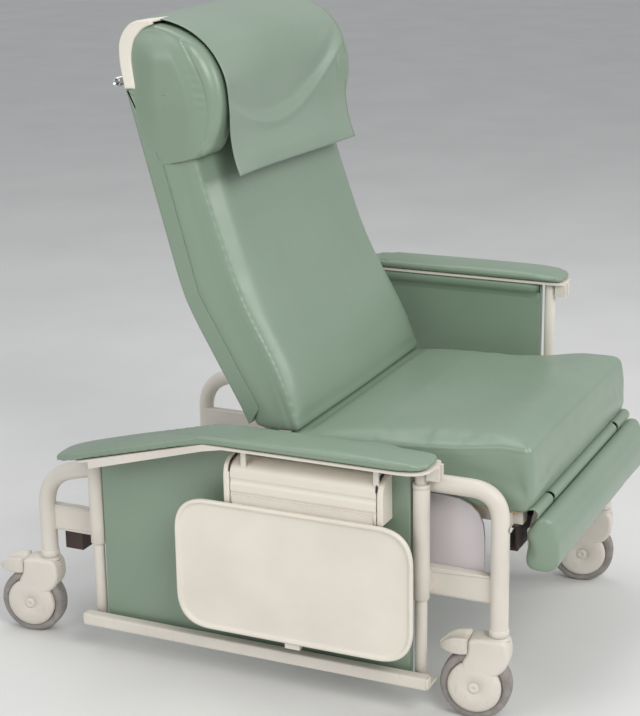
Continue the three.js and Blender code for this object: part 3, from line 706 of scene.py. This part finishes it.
plump(seat, 6.5, 4.0, 8, on_board)
seat_edge_line = [(-37, 459), (-325, 476), (-438, 492), (-497, 491), (-507, 446), (-497, 386)]
SEAT_EDGE = [(SEAT_HALF - 3, y, z) for y, z in seat_edge_line]


def seat_seams(x, y, z, out):
    """Crisp welted edges round the top of the sides and down the front corners, and a used middle."""
    welt = groove(to_edge(x, y, z, SEAT_EDGE), 5.0) * 2.4
    side_face = np.clip((np.abs(x) - 280) / 8, 0, 1)
    crest = np.interp(y, [-490, -436, -325, -37], [490, 491, 476, 459])
    below = groove(z - (crest - 15), 4.0) * side_face * 1.3
    across = np.clip(1 - (np.abs(x) / 288) ** 3, 0, 1)
    along = np.clip(-(y + 80) / 120, 0, 1)
    crown = 7 * across * along * np.clip(out[:, 2], 0, 1)
    return below - welt - crown


press(seat, seat_seams)
fit_inside(seat, (-SEAT_HALF - 5, -514, 368.4), (SEAT_HALF + 5, -34, None))

# ---------------------------------------------------------------- back

BACK_HALF = 288
REAR_LINE = [(40, 480), (155, 681), (256, 1049.5)]


def rear_inset(distance):
    """The rear line moved forward, square to itself."""
    p0, p1, p2 = (np.array(p, float) for p in REAR_LINE)

    def normal(a, b):
        way = (b - a) / np.linalg.norm(b - a)
        return np.array((-way[1], way[0]))

    first, second = normal(p0, p1), normal(p1, p2)
    mid = (first + second) / np.linalg.norm(first + second)
    return [p0 + first * distance, p1 + mid * distance / mid.dot(first), p2 + second * distance]


rear_in = rear_inset(22)
back_side = rounded(
    [
        (-67, 460, 5),
        (-34, 550, 40),
        (46, 694, 70),
        (110, 884, 70),
        (124, 932, 24),
        (153, 1080, 24),
        (172, 1138, 16),
        (199, 1158, 14),
        (222, 1153, 12),
        (236, 1136, 12),
        (241, 1107, 12),
        (238, 1064),
        tuple(rear_in[2]),
        tuple(rear_in[1]),
        tuple(rear_in[0]),
        (27, 463, 8),
        (-8, 455, 10),
    ],
    6,
)
SIDE_X = 290.5
back_side = anticlockwise(even(back_side, 12))
back_edge = 1.5 + 4.5 * np.clip((to_line(back_side[:, 0], back_side[:, 1], rear_in) - 14) / 20, 0, 1)
back = slab_piece("back_cushion_soft", back_side, "x", (-SIDE_X, SIDE_X), GREEN, "back", "upholstery",
                  ["back_cushion"], edge=(back_edge, back_edge))


def against_board(co):
    """Held where the cushion lies against the rear cover, and at its foot."""
    y, z = (co[:, 1] - SHIFT_Y) / MM, co[:, 2] / MM
    return np.maximum(np.clip(1.9 - to_line(y, z, rear_in) / 16, 0, 1), np.clip((486 - z) / 20, 0, 1))


plump(back, 6.5, 4.0, 8, against_board)

FRONT_LINE = [(-68, 462), (-34, 550), (5, 618), (45, 692), (68, 752), (90, 821), (109, 883), (118, 926)]
FRONT_EDGE = [(288, y, z) for y, z in FRONT_LINE]
SEAM_LINE = [(-52, 464), (-17, 550), (22, 613), (62, 686), (86, 748), (108, 817), (127, 880), (136, 926)]


def back_seams(x, y, z, out):
    """A crisp welted front edge with a seam behind it, and a soft crown between."""
    side_face = np.clip((np.abs(x) - 280) / 8, 0, 1)
    lower = np.clip((936 - z) / 30, 0, 1)
    welt = groove(to_edge(x, y, z, FRONT_EDGE), 5.0) * 2.6 * lower
    seam = groove(to_line(y, z, SEAM_LINE), 4.0) * side_face * 1.6 * lower
    crown = 2.5 * np.exp(-((x / 190) ** 2)) * np.clip(-out[:, 1], 0, 1) * lower
    return seam - welt - crown


press(back, back_seams)
fit_inside(back, (-BACK_HALF - 8, -74, 459), (BACK_HALF + 8, None, None))

# The rear cover: a vinyl-covered shell with a piped edge.
cover_side = even(rounded([(31, 464, 3), (*REAR_LINE[1], 60), (*REAR_LINE[2], 2)]
                          + [(*p, 0) for p in rear_inset(33)[::-1]], 6), 30)
cover_edge = 0.4 + 5 * np.clip(1 - to_line(cover_side[:, 0], cover_side[:, 1], REAR_LINE) / 12, 0, 1)
cover_edge = cover_edge if np.allclose(cover_side, anticlockwise(cover_side)) else cover_edge[::-1]
slab_piece("back_rear_cover_fine", cover_side, "x", (-SIDE_X - 0.7, SIDE_X + 0.7), GREEN, "back",
           "upholstery", ["back_rear_cover"], edge=(cover_edge, cover_edge))


# ---------------------------------------------------------------- head: side panels, cap, push bar

HEAD_CENTRE = (165, 1044)
head_points = [
    (124, 934, 8),
    (98, 944, 24),
    (77, 1004, 44),
    (81, 1074, 44),
    (112, 1126, 40),
    (160, 1153, 24),
    (205, 1163, 18),
    (234, 1151, 18),
    (246, 1120, 18),
    (250, 1078, 14),
    (246, 1044, 6),
    (210, 916, 4),
]
head_loop = anticlockwise(even(rounded(head_points, 8), 7))
nose_share = np.clip((156 - head_loop[:, 0]) / 45, 0, 1) ** 1.2 * np.clip((head_loop[:, 1] - 920) / 40, 0, 1)
top_share = np.clip((head_loop[:, 1] - 1120) / 25, 0, 1)
head_edge = 1.0 + 24 * nose_share + 8 * top_share * (1 - nose_share)
INNER_EDGE = 14.0
HEAD_SEAM = [(140, 1134), (134, 1124), (118, 1095), (105, 1064), (98, 1034), (97, 1009), (102, 984),
             (111, 955), (117, 934)]


def wing_seams(x, y, z, out):
    """The side panel's dome, the curved seam in front of it, and gathers where it eases round the nose."""
    outside = np.clip((np.abs(x) - 268) / 14, 0, 1) * np.clip(np.abs(out[:, 0]) * 1.4, 0, 1)
    away = to_line(y, z, HEAD_SEAM)
    seam_y = np.interp(z, [p[1] for p in HEAD_SEAM[::-1]], [p[0] for p in HEAD_SEAM[::-1]])
    behind = np.clip((y - seam_y) / 34, 0, 1)
    in_front_of_rear = np.clip((246 - y) / 60, 0, 1)
    below_top = np.clip((1150 - z) / 48, 0, 1)
    above_foot = np.clip((z - 925) / 110, 0, 1)
    dome = np.ones_like(x)
    for share in (behind, in_front_of_rear, below_top, above_foot):
        dome = dome * share * share * (3 - 2 * share)
    ripple = 0.5 + 0.5 * np.cos(2 * np.pi * (z - 1050) / 15.5)
    gathers = np.clip(1 - np.abs(z - 1042) / 62, 0, 1) * ripple * groove(y - seam_y - 10, 8) * outside
    return groove(away, 3.2) * outside * 2.0 + gathers * 1.6 - dome * 10 * outside


def twice_fine(o):
    modifier = o.modifiers.new("fine", "SUBSURF")
    modifier.levels = modifier.render_levels = 2


for name, side in SIDES.items():
    ends = sorted((side * SIDE_X, side * 216))
    edges = (head_edge, INNER_EDGE) if side == RIGHT else (INNER_EDGE, head_edge)
    domes = (0.3, 0) if side == RIGHT else (0, 0.3)
    rings = slab(head_loop, "x", ends, edge=edges, dome=domes, parts=8, centre=HEAD_CENTRE)
    wing = shaped(f"head_wing_{name}_soft", rings_to_mesh(rings), GREEN, "back", "upholstery",
                  [f"head_wing_{name}"])
    replace_mesh(wing, twice_fine)
    press(wing, wing_seams)

cap_outer = [(255.5, 1050.5), (264.5, 1100, 20), (263, 1138, 26), (238, 1168, 22), (199, 1170.5)]
cap_inner = [(198, 1165.5), (227, 1162, 12), (247, 1142, 12), (251.5, 1108, 12), (244, 1054.5)]
cap_loop = even(rounded(cap_outer + cap_inner, 10), 8)
slab_piece("back_cap_fine", cap_loop, "x", (-BACK_HALF - 2, BACK_HALF + 2), IVORY, "back", "ivory_plastic",
           ["back_cap"], edge=(2.2, 2.2))
rim_inner = [(196, 1163), (217, 1154, 8), (233, 1137, 10), (241, 1108, 14), (238, 1078, 10), (234, 1051.5)]
rim_loop = even(rounded(cap_outer + rim_inner, 10), 8)
for name, side in SIDES.items():
    slab_piece(f"back_cap_rim_{name}", rim_loop, "x", sorted((side * 284, side * 294)), IVORY, "back",
               "ivory_plastic", edge=(3.2, 3.2))

bar_y, bar_z = 277, (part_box("push_bar")[0].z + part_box("push_bar")[1].z) / 2 / MM
push_parts = [tube([(x, bar_y, bar_z) for x in np.linspace(-284, 284, 9)], 8.5, 2.2, 32, 1.0)]
for x in (-215, 215):
    push_parts.append(round_bar((x, 259, bar_z), (x, bar_y, bar_z), 5, 0, 24))
    push_parts.append(round_bar((x, 257.8, bar_z), (x, 261.5, bar_z), 11, 0, 32, 1.2))
shaped("push_bar_fine", merged(*push_parts), CHROME, "back", "bright_steel", ["push_bar"])

# ---------------------------------------------------------------- head sheet

SHEET_HALF = 258
sheet_line = [
    (61, 892),
    (68, 930),
    (71, 970),
    (70, 1020),
    (76.5, 1078),
    (101, 1123.5),
    (142, 1156.5),
    (198, 1174),
    (244, 1169),
    (268, 1141),
    (270, 1096),
]


def smooth_line(points, count):
    """A centripetal curve through points, sampled evenly."""
    points = [np.array(p, float) for p in points]
    points = [2 * points[0] - points[1]] + points + [2 * points[-1] - points[-2]]
    dense = []
    for p0, p1, p2, p3 in zip(points, points[1:], points[2:], points[3:]):
        t0 = 0.0
        t1 = t0 + np.linalg.norm(p1 - p0) ** 0.5
        t2 = t1 + np.linalg.norm(p2 - p1) ** 0.5
        t3 = t2 + np.linalg.norm(p3 - p2) ** 0.5
        for t in np.linspace(t1, t2, 24, endpoint=False):
            a1 = (t1 - t) / (t1 - t0) * p0 + (t - t0) / (t1 - t0) * p1
            a2 = (t2 - t) / (t2 - t1) * p1 + (t - t1) / (t2 - t1) * p2
            a3 = (t3 - t) / (t3 - t2) * p2 + (t - t2) / (t3 - t2) * p3
            b1 = (t2 - t) / (t2 - t0) * a1 + (t - t0) / (t2 - t0) * a2
            b2 = (t3 - t) / (t3 - t1) * a2 + (t - t1) / (t3 - t1) * a3
            dense.append((t2 - t) / (t2 - t1) * b1 + (t - t1) / (t2 - t1) * b2)
    dense.append(points[-2])
    dense = np.array(dense)
    longs = np.concatenate([[0], np.cumsum(np.linalg.norm(np.diff(dense, axis=0), axis=1))])
    places = np.linspace(0, longs[-1], count)
    line = np.stack([np.interp(places, longs, dense[:, i]) for i in (0, 1)], 1)
    return line, longs[-1]


ROWS, COLUMNS = 90, 88
sheet_points, sheet_long = smooth_line(sheet_line, ROWS)


def sheet_at(u, row):
    """A point of the sheet: u runs from -1 to 1 across, row from its front hem over to its rear hem.

    Between the side pads it hangs in a shallow bag, with smile-shaped folds; its ends droop a little."""
    y, z = sheet_points[row]
    down = np.clip((1128 - z) / 236, 0, 1) * (y < 200)
    x = u * SHEET_HALF
    between = 1 - abs(u) ** 2.6
    hollow = 20 * between * math.sin(math.pi * min(1, down * 1.12) ** 0.9) * (down > 0)
    fold_z = 968 + 88 * (u + 0.2) ** 2
    above = z - fold_z
    fold = (4.5 * math.exp(-(((above - 26) / 18) ** 2)) - 5.5 * math.exp(-((above / 9) ** 2))) * (y < 120)
    fold *= 1 - abs(u) ** 8
    left_end, right_end = max(0.0, -u) ** 3, max(0.0, u) ** 3
    ends = right_end * 11 * math.sin(math.pi * down) - left_end * 9 * down**3
    rise = 12 * (0.5 - u / 2) * down**2
    droop = 7 * abs(u) ** 3 * (1 - down) * (y < 262)
    lift = 2.0 * math.sin(5 * u + 0.7) * (1 - down) * 0.4
    return (x, y + hollow + fold + ends, z - droop + lift + rise)


verts = [sheet_at(2 * c / (COLUMNS - 1) - 1, r) for r in range(ROWS) for c in range(COLUMNS)]
faces = [
    (r * COLUMNS + c, r * COLUMNS + c + 1, (r + 1) * COLUMNS + c + 1, (r + 1) * COLUMNS + c)
    for r in range(ROWS - 1)
    for c in range(COLUMNS - 1)
]
sheet = piece("head_cover_sheet", verts, faces, SHEET, "back", "upholstery", ["head_cover"])


def thicken(o):
    modifier = o.modifiers.new("thick", "SOLIDIFY")
    modifier.thickness = 1.5 * MM
    modifier.offset = 0


replace_mesh(sheet, thicken)

# ---------------------------------------------------------------- legrest pad

PAD_HALF = 290
leg_side = rounded(
    [
        (-504, 366, 8),
        (-526, 368, 16),
        (-539, 335, 24),
        (-545, 298, 22),
        (-538, 270, 16),
        (-495, 265, 12),
        (-481, 280, 12),
        (-489, 306, 16),
        (-483, 336, 12),
        (-492, 344, 6),
    ],
    6,
)
leg = slab_piece("legrest_pad_soft", leg_side, "x", (-PAD_HALF + 1, PAD_HALF - 1), GREEN, "legrest",
                 "upholstery", ["legrest_pad"], edge=(4, 4))


def by_hinge(co):
    """Held beside the hinge rod, so that the pad can swing clear of it."""
    return np.clip(((co[:, 2] / MM) - 350) / 14, 0, 1)


plump(leg, 5, 4.0, 6, by_hinge)
leg_edge_line = [(-505, 365), (-526, 367), (-540, 335), (-546, 298), (-539, 269), (-500, 267)]
LEG_EDGE = [(PAD_HALF - 2, y, z) for y, z in leg_edge_line]


def leg_seams(x, y, z, out):
    """Welted end seams, and a crease under the top roll."""
    welt = groove(to_edge(x, y, z, LEG_EDGE), 4.5) * 1.6
    crease = groove(z - 338, 14) * np.clip(-out[:, 1], 0, 1) * 2.0
    return crease - welt


press(leg, leg_seams)
fit_inside(leg, (-PAD_HALF - 4, -552, 261), (PAD_HALF + 4, -478, 368))

# A flap of the same vinyl over the hinge rod, open where the channel's two ears hold the rod.
HINGE = (-496, 371)


def flap_arc(radius, angles):
    return [(HINGE[0] + radius * math.cos(a), HINGE[1] + radius * math.sin(a)) for a in angles]


flap_turns = [math.radians(d) for d in range(55, 216, 8)]
flap_loop = np.array(flap_arc(11.2, flap_turns) + flap_arc(8.6, flap_turns[::-1]))
for number, ends in enumerate(((-288, -206), (-194, 194), (206, 288))):
    slab_piece(f"legrest_flap_{number + 1}", flap_loop, "x", ends, GREEN, "legrest", "upholstery",
               edge=(0.8, 0.8))

# ---------------------------------------------------------------- arms

ARM_OUT, ARM_BEND = 417, 60
PAD_IN = 328
PLATE_TOP = 463
ROLL_IN = 331


def arm_line(y, level_z):
    return level_z - FALL * np.maximum(0, y - ARM_BEND)


def soft_line(y, level_z):
    """The same line with its bend eased over a hand's breadth."""
    past = y - ARM_BEND
    return level_z - FALL * 0.5 * (past + np.sqrt(past * past + 55.0**2)) + FALL * 6


def arm_pad(name, side, lift):
    """A long pad: flat underneath, a low firm edge outside, crowned on top, its front end thin."""
    body = f"arm_{name}"
    low_y, high_y = -352, 385
    plan = [
        (side * (PAD_IN + 2), low_y + 2, 22),
        (side * (ARM_OUT - 1), low_y + 1, 58),
        (side * (ARM_OUT - 1), high_y - 6, 58),
        (side * (PAD_IN + 2), high_y - 4, 28),
    ]
    loop = even(rounded(plan, 12), 12)
    verts, faces = rings_to_mesh(slab(loop, "z", (0, 16), edge=(1.5, 5), parts=4))
    bent = []
    for x, y, z in verts:
        rear = max(0.0, (y - 250) / (high_y - 250))
        front = max(0.0, (-y - 240) / 112)
        thin = 1 - 0.25 * rear**2 - 0.38 * front**2
        foot, top = float(arm_line(y, PLATE_TOP + 0.6)), float(soft_line(y, PLATE_TOP + 0.6))
        share = min(1.0, z / 16)
        bent.append((x, y, foot + (max(top, foot) - foot) * share + lift + z * thin))
    obj = piece(f"arm_pad_{name}_soft", bent, faces, GREEN, body, "upholstery", [f"arm_pad_{name}"])

    def on_plate(co):
        y, z = (co[:, 1] - SHIFT_Y) / MM, co[:, 2] / MM - lift
        return np.clip(1.3 - (z - arm_line(y, PLATE_TOP)) / 8, 0, 1)

    plump(obj, 5, 4.0, 8, on_plate)

    def pad_seams(x, y, z, out):
        """A firm welt along the outer edge, a finger's breadth above the plate."""
        above = z - lift - arm_line(y, PLATE_TOP)
        outer = np.clip((np.abs(x) - 400) / 8, 0, 1)
        return -groove(above - 13, 3.6) * outer * 1.2 + groove(above - 7.5, 2.6) * outer * 0.8

    press(obj, pad_seams)
    co = coordinates(obj.data)
    foot = arm_line((co[:, 1] - SHIFT_Y) / MM, PLATE_TOP + 0.3) + lift
    co[:, 2] = np.maximum(co[:, 2], foot * MM)
    co[:, 0] = np.clip(co[:, 0], -(ARM_OUT + 3) * MM, (ARM_OUT + 3) * MM)
    set_coordinates(obj.data, co)


def arm_panel(name, side, lift):
    """The padded side panel, with a rolled top edge on its inner face."""
    body = f"arm_{name}"
    low_z = span(f"arm_panel_{name}", 2)[0]
    half_y = 304
    top = PLATE_TOP - 4.5 + lift
    outline = rounded(
        [(-half_y, low_z, 5), (half_y, low_z, 5), (half_y, float(arm_line(half_y, top)), 6),
         (ARM_BEND, top), (-half_y, top, 6)], 5)
    x_mid = side * POST_X
    rings = slab(even(outline, 40), "x", (x_mid - 7.5, x_mid + 7.5), edge=(3.5, 3.5), dome=(1.6, 1.6))
    obj = shaped(f"arm_panel_{name}_soft", rings_to_mesh(rings), GREEN, body, "upholstery",
                 [f"arm_panel_{name}"])
    face = side * 343.5
    section = rounded([(face, -0.5, 1), (side * ROLL_IN, -1, 7), (side * ROLL_IN, -15, 8),
                       (side * (ROLL_IN + 9), -24, 8), (face, -40, 1)], 7)
    section = anticlockwise(even(section, 4))
    rings = []
    for k, y in enumerate(np.linspace(-half_y + 2, half_y - 2, 64)):
        tuck = 4.0 if k in (0, 63) else 1.2 if k in (1, 62) else 0.0
        ring = inset(section, tuck)
        rings.append([(x, y, z + float(arm_line(y, top))) for x, z in ring])
    roll = shaped(f"arm_roll_{name}", rings_to_mesh(rings), GREEN, body, "upholstery")


for name, side in SIDES.items():
    body = f"arm_{name}"
    lift = span(f"arm_plate_{name}", 2)[1] - PLATE_TOP
    arm_pad(name, side, lift)
    arm_panel(name, side, lift)
    for end in ("front", "rear"):
        node = f"arm_post_{end}_{name}"
        low, high = span(node, 2)
        post_y = (middle(node).y - SHIFT_Y) / MM
        post = tube([(side * POST_X, post_y, z) for z in np.linspace(low, high, 5)], 10.5, 2, 32, 0.8)
        shaped(f"{node}_fine", post, STEEL, body, "painted_steel", [node])
        rail_low, rail_high = span(f"arm_rail_{name}", 2)
        sign = -1 if end == "front" else 1
        end_y = span(f"arm_rail_{name}", 1)[0 if sign < 0 else 1]
        cap_points = [
            (side * 337, rail_low + 1, 3),
            (side * 384, rail_low + 1, 5),
            (side * 384, rail_high - 1, 5),
            (side * 367, rail_high - 1, 3),
            (side * 367, rail_low + 6, 2),
            (side * 337, rail_low + 6, 2),
        ]
        cap_ends = sorted((end_y - sign * 0.1, end_y + sign * 3.1))
        slab_piece(f"rail_end_{end}_{name}", rounded(cap_points, 4), "y", cap_ends, IVORY, body,
                   "ivory_plastic", edge=(1.2, 1.2), parts=3)

# ---------------------------------------------------------------- side tray and its housing

HOUSING = (-272, 28)
house_in, house_out = 357.9, 401


def housing_section(grow=0.0):
    return rounded(
        [
            (-house_in, 357),
            (-house_in, 436 + grow, 5),
            (-house_in - 16, 437 + grow, 12),
            (-house_out - grow, 425, 20),
            (-house_out - grow, 405, 3),
            (-house_out + 2.2, 402, 3),
            (-house_out + 2.2, 397, 3),
            (-house_out - grow, 394, 3),
            (-house_out - grow, 381, 3),
            (-house_out + 2.0, 378, 3),
            (-house_out + 2.0, 374, 3),
            (-house_out - grow, 371, 3),
            (-house_out - grow, 357, 3),
        ],
        5,
    )


ends = (HOUSING[0] + 13, HOUSING[1] - 13)
house_parts = [rings_to_mesh(slab(housing_section(), "y", ends, edge=(0.6, 0.6)))]
plain = rounded([(-house_in, 356.5), (-house_in, 437, 5), (-house_in - 16, 438.5, 12),
                 (-house_out - 1.2, 426, 22), (-house_out - 1.2, 356.5, 4)], 10)
for y0, y1 in ((HOUSING[0], HOUSING[0] + 11), (HOUSING[1] - 11, HOUSING[1])):
    house_parts.append(rings_to_mesh(slab(plain, "y", (y0, y1), edge=(2.4, 2.4))))
for y in (-258, -10):
    hanger = rectangle((3 - house_out, 8.5 - house_out), (425, 458.5), 1, 3)
    house_parts.append(rings_to_mesh(slab(hanger, "y", (y - 5, y + 5), edge=(1, 1))))
shaped("tray_housing_fine", merged(*house_parts), IVORY, "arm_right", "ivory_plastic", ["tray_housing"])
# Dark tubes laid along the gaps between the housing's end pieces and its body: painted shade in the slots.
slot_line = [(-house_in - 12, 438.3), (-house_in - 22, 437), (-house_out + 8, 432.2), (-house_out + 2, 425),
             (-house_out + 0.4, 416)]
slots = [tube([(x, y, z) for x, z in slot_line], 1.8, 0, 10, 0.4) for y in (HOUSING[0] + 12, HOUSING[1] - 12)]
shaped("tray_housing_slot_shade", merged(*slots), SHADOW, "arm_right", "dark_steel")

tray_y, tray_z = span("side_tray", 1), span("side_tray", 2)


def tray_loop(in_by):
    """The tray's outline, moved inwards."""
    sides_y = (tray_y[0] + in_by, tray_y[1] - in_by)
    sides_z = (tray_z[0] + in_by, tray_z[1] - in_by)
    return anticlockwise(rectangle(sides_y, sides_z, max(66 - in_by, 12), 14))


# From the rear face round the rim and down into the dished face, as (inset, x).
tray_profile = [(40, -405.2), (6, -405.2), (3.2, -405.6), (1.2, -406.6), (0.2, -408.6), (0.2, -413),
                (1.0, -414.9), (2.6, -415.9), (4.6, -415.9), (6.2, -415.2), (7.4, -413.6), (8.6, -412.2),
                (10.4, -411.3), (13, -411), (40, -411)]
tray_rings = [[(x, y, z) for y, z in tray_loop(in_by)] for in_by, x in tray_profile]
shaped("side_tray_fine", rings_to_mesh(tray_rings), IVORY, "tray", "ivory_plastic", ["side_tray"])

# ---------------------------------------------------------------- casters

WHEEL_R, TRAIL = 62.5, 38


def caster_axes(name, side, end_sign):
    """The caster's own frame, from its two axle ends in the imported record."""
    spin = next(j for j in frame["joints"] if j["name"] == f"wheel_spin_{name}")
    axle = Vector(spin["axis"]).normalized()
    if axle.x < 0:
        axle.negate()
    across = Vector((axle.x, axle.y, 0)).normalized()
    rear = Vector((-across.y, across.x, 0))
    base = at(side * FRAME_X, end_sign * LEG_Y, 0)
    return lambda x, y, z: base + (across * x + rear * y) * MM + Vector((0, 0, z * MM))


def placed(part, place):
    verts, faces = part
    return [place(*v) for v in verts], faces


def caster_hood():
    """The moulded fork: a collar at the leg, a rounded hood, and round cheeks over the wheel's sides."""
    parts = []
    hood = rounded(
        [(-22, 112, 16), (-20, 142, 14), (-12, 153.5, 6), (34, 153.5, 8), (49, 149, 6), (50, 122, 10),
         (62, 104, 20), (58, 78, 20), (26, 78, 20), (-6, 88, 18)], 8)
    hood_loop = even(hood, 7)
    ring_parts = slab(hood_loop, "x", (-24, 24), edge=(7, 7), parts=5, centre=(24, 118))
    parts.append(rings_to_mesh(ring_parts))
    for sign in (-1, 1):
        disc = [(0.5, 24.5), (30, 24.5), (40, 23.4), (45.5, 21.2), (47.5, 18.6), (46.5, 17.4), (0.5, 17.4)]
        profile = [(r, sign * d) for r, d in disc]
        parts.append(turned(profile, (0, TRAIL, WHEEL_R), 56))
        boss = [(0.5, 26.6), (7, 26.6), (9.6, 25.6), (10.4, 23.5), (0.5, 23.5)]
        parts.append(turned([(r, sign * d) for r, d in boss], (0, TRAIL, WHEEL_R), 36))
    for k, z in enumerate((139.5, 145, 150.5)):
        r = 20.6 - 0.9 * k
        ring = [(r - 3, -2), (r, -1.5), (r + 0.6, 0), (r, 1.5), (r - 3, 2)]
        parts.append(turned(ring, (0, 0, z), 44, UP))
    neck = [(0.5, -4), (17.2, -4), (17.8, -2), (17.2, 1.5), (0.5, 1.5)]
    parts.append(turned(neck, (0, 0, 153), 44, UP))
    return merged(*parts)


def caster_pedal():
    """The brake pedal: a lever flowing on from the hood, its top scooped, drawn down to a rounded tip."""
    stations = [
        (50.5, 22.5, 122, 151.5),
        (62, 22.5, 120, 151.5),
        (76, 21, 120, 150),
        (88, 17.5, 121, 144.5),
        (97, 13, 123, 137),
        (103, 7.5, 125, 131.5),
        (105, 3, 126.5, 129),
    ]
    rings = []
    for y, half, low, high in stations:
        edge = min(5.0, (high - low) * 0.3)
        loop = rounded([(-half, low, edge), (half, low, edge), (half, high, 2.5), (half - 4, high, 3),
                        (half * 0.4, high - 7 * half / 22, 8), (-half * 0.4, high - 7 * half / 22, 8),
                        (4 - half, high, 3), (-half, high, 2.5)], 5)
        rings.append([(x, y, z) for x, z in loop])
    return rings_to_mesh(rings)


def wheel_hub():
    """A hub disc with a raised rim and five low ribs on each side."""
    parts = []
    for sign in (-1, 1):
        disc = [(4.9, 14.4), (12.5, 14.4), (14, 12.6), (24, 12.2), (38, 13.0), (43, 14.2), (46.4, 13.4),
                (46.8, 11), (46.8, 0), (4.9, 0)]
        parts.append(turned([(r, sign * d) for r, d in disc], (0, TRAIL, WHEEL_R), 64))
        for k in range(5):
            turn = 2 * math.pi * k / 5
            a = (sign * 12.4, TRAIL + 15 * math.cos(turn), WHEEL_R + 15 * math.sin(turn))
            b = (sign * 12.8, TRAIL + 41 * math.cos(turn), WHEEL_R + 41 * math.sin(turn))
            parts.append(round_bar(a, b, 2.0, 0, 12, 0.6))
    return merged(*parts)


def tread():
    """The grey tyre, its tread a little crowned."""
    half = [(47.4, 14), (49.5, 15.4), (56, 15.6), (60, 14.6), (61.9, 12), (62.45, 8)]
    profile = [(r, -d) for r, d in half] + [(62.5, 0)] + half[::-1]
    return turned(profile, (0, TRAIL, WHEEL_R), 96)


for name, side in SIDES.items():
    for end, end_sign in (("front", -1), ("rear", 1)):
        key = f"{end}_{name}"
        place = caster_axes(key, side, end_sign)
        for label, part, material, body, slot in (
            ("caster_housing", caster_hood(), CASTER, "caster", "ivory_plastic"),
            ("caster_pedal", caster_pedal(), CASTER, "pedal", "ivory_plastic"),
            ("wheel_hub", wheel_hub(), IVORY, "wheel", "ivory_plastic"),
            ("tyre", tread(), TREAD, "wheel", "tread"),
        ):
            node = f"{label}_{key}"
            verts, faces = placed(part, place)
            piece(f"{node}_fine", verts, faces, material, f"{body}_{key}", slot, [node], metres=True)

# ---------------------------------------------------------------- the CAD nodes that stay

STAYING = {
    "seat_shield": (LILAC, 1.2),
    "seat_rail": (STEEL, 1.0),
    "front_channel": (BROWN, 0.8),
    "rear_channel": (BROWN, 0.8),
    "seat_board": (WOOD, 0.6),
    "back_board": (WOOD, 0.6),
    "back_rail": (STEEL, 0.8),
    "gas_spring_cylinder": (BROWN, 0.8),
    "gas_spring_rod": (GROUND, 0.3),
    "legrest_rod": (CHROME, 0.4),
    "legrest_frame": (STEEL, 0.8),
    "arm_rail": (STEEL, 1.0),
    "arm_plate": (STEEL, 0.9),
    "tray_bracket": (STEEL, 0.6),
}
for node, obj in frame["nodes"].items():
    for start, (material, width) in STAYING.items():
        if node == start or node.startswith(start + "_r") or node.startswith(start + "_l"):
            dress(obj, material)
            crisp(obj, width)

# The rear channel's open ends are closed with plates.
channel_x, channel_y, channel_z = (span("rear_channel", axis) for axis in range(3))
plate = rectangle((channel_y[0] + 0.5, channel_y[1] - 0.5), (channel_z[0], channel_z[1] - 0.5), 3)
for name, side in SIDES.items():
    end_x = channel_x[0] if side == RIGHT else channel_x[1]
    plate_x = sorted((end_x - side * 3, end_x + side * 0.4))
    slab_piece(f"rear_channel_end_{name}", plate, "x", plate_x, BROWN, "frame", "dark_steel", edge=(0.8, 0.8))

# ---------------------------------------------------------------- floor, lights and camera


def floor_material():
    m = Maker("studio_floor")
    base = m.ramp(m.noise(400, 3), (0.3, rgb(222, 222, 220)), (0.7, rgb(228, 228, 226)))
    rough = m.ramp(m.noise(60, 3), (0.3, 0.55), (0.7, 0.68))
    return m.finish(base, rough, m.bump(m.noise(3, 2), 0.05, 0.1))


bpy.ops.mesh.primitive_grid_add(x_subdivisions=4, y_subdivisions=4, size=70)
floor = bpy.context.object
floor.name = "studio_floor"
dress(floor, floor_material())

world = bpy.data.worlds.new("studio")
bpy.context.scene.world = world
world.use_nodes = True
world.node_tree.nodes["Background"].inputs["Color"].default_value = (0.95, 0.97, 1.0, 1.0)
world.node_tree.nodes["Background"].inputs["Strength"].default_value = 0.46


def area_light(name, where, towards, size, power, colour=(1, 1, 1)):
    data = bpy.data.lights.new(name, "AREA")
    data.shape = "RECTANGLE"
    data.size, data.size_y = size
    data.energy = power
    data.color = colour
    light = bpy.data.objects.new(name, data)
    light.location = where
    light.rotation_euler = (Vector(towards) - Vector(where)).to_track_quat("-Z", "Y").to_euler()
    bpy.context.scene.collection.objects.link(light)


area_light("key", (-2.2, -2.6, 3.0), (0, 0, 0.5), (1.8, 1.8), 82, (1.0, 0.98, 0.96))
area_light("fill", (-3.2, 1.4, 1.8), (0, 0, 0.6), (2.0, 1.6), 27)
area_light("front", (1.6, -3.2, 2.2), (0, -0.1, 0.5), (1.6, 1.6), 36)
area_light("top", (0.3, 0.6, 3.6), (0, 0, 0.5), (2.4, 2.4), 34)

camera_data = bpy.data.cameras.new("camera")
camera = bpy.data.objects.new("camera", camera_data)
bpy.context.scene.collection.objects.link(camera)
bpy.context.scene.camera = camera
YAW, PITCH, ROLL = 0.43440387, 0.29090317, -0.01522754
forward = Vector((math.cos(YAW) * math.cos(PITCH), math.sin(YAW) * math.cos(PITCH), -math.sin(PITCH)))
level = forward.cross(Vector((0, 0, 1))).normalized()
upward = level.cross(forward)
across = math.cos(ROLL) * level + math.sin(ROLL) * upward
upright = -math.sin(ROLL) * level + math.cos(ROLL) * upward
camera.matrix_world = Matrix.Translation(at(-2922.01, -1330.32, 1471.87)) @ Matrix(
    (across, upright, -forward)
).transposed().to_4x4()
camera_data.sensor_width = 36
camera_data.lens = 88.2895
camera_data.clip_start, camera_data.clip_end = 0.05, 60
bpy.context.scene.view_settings.view_transform = "Standard"
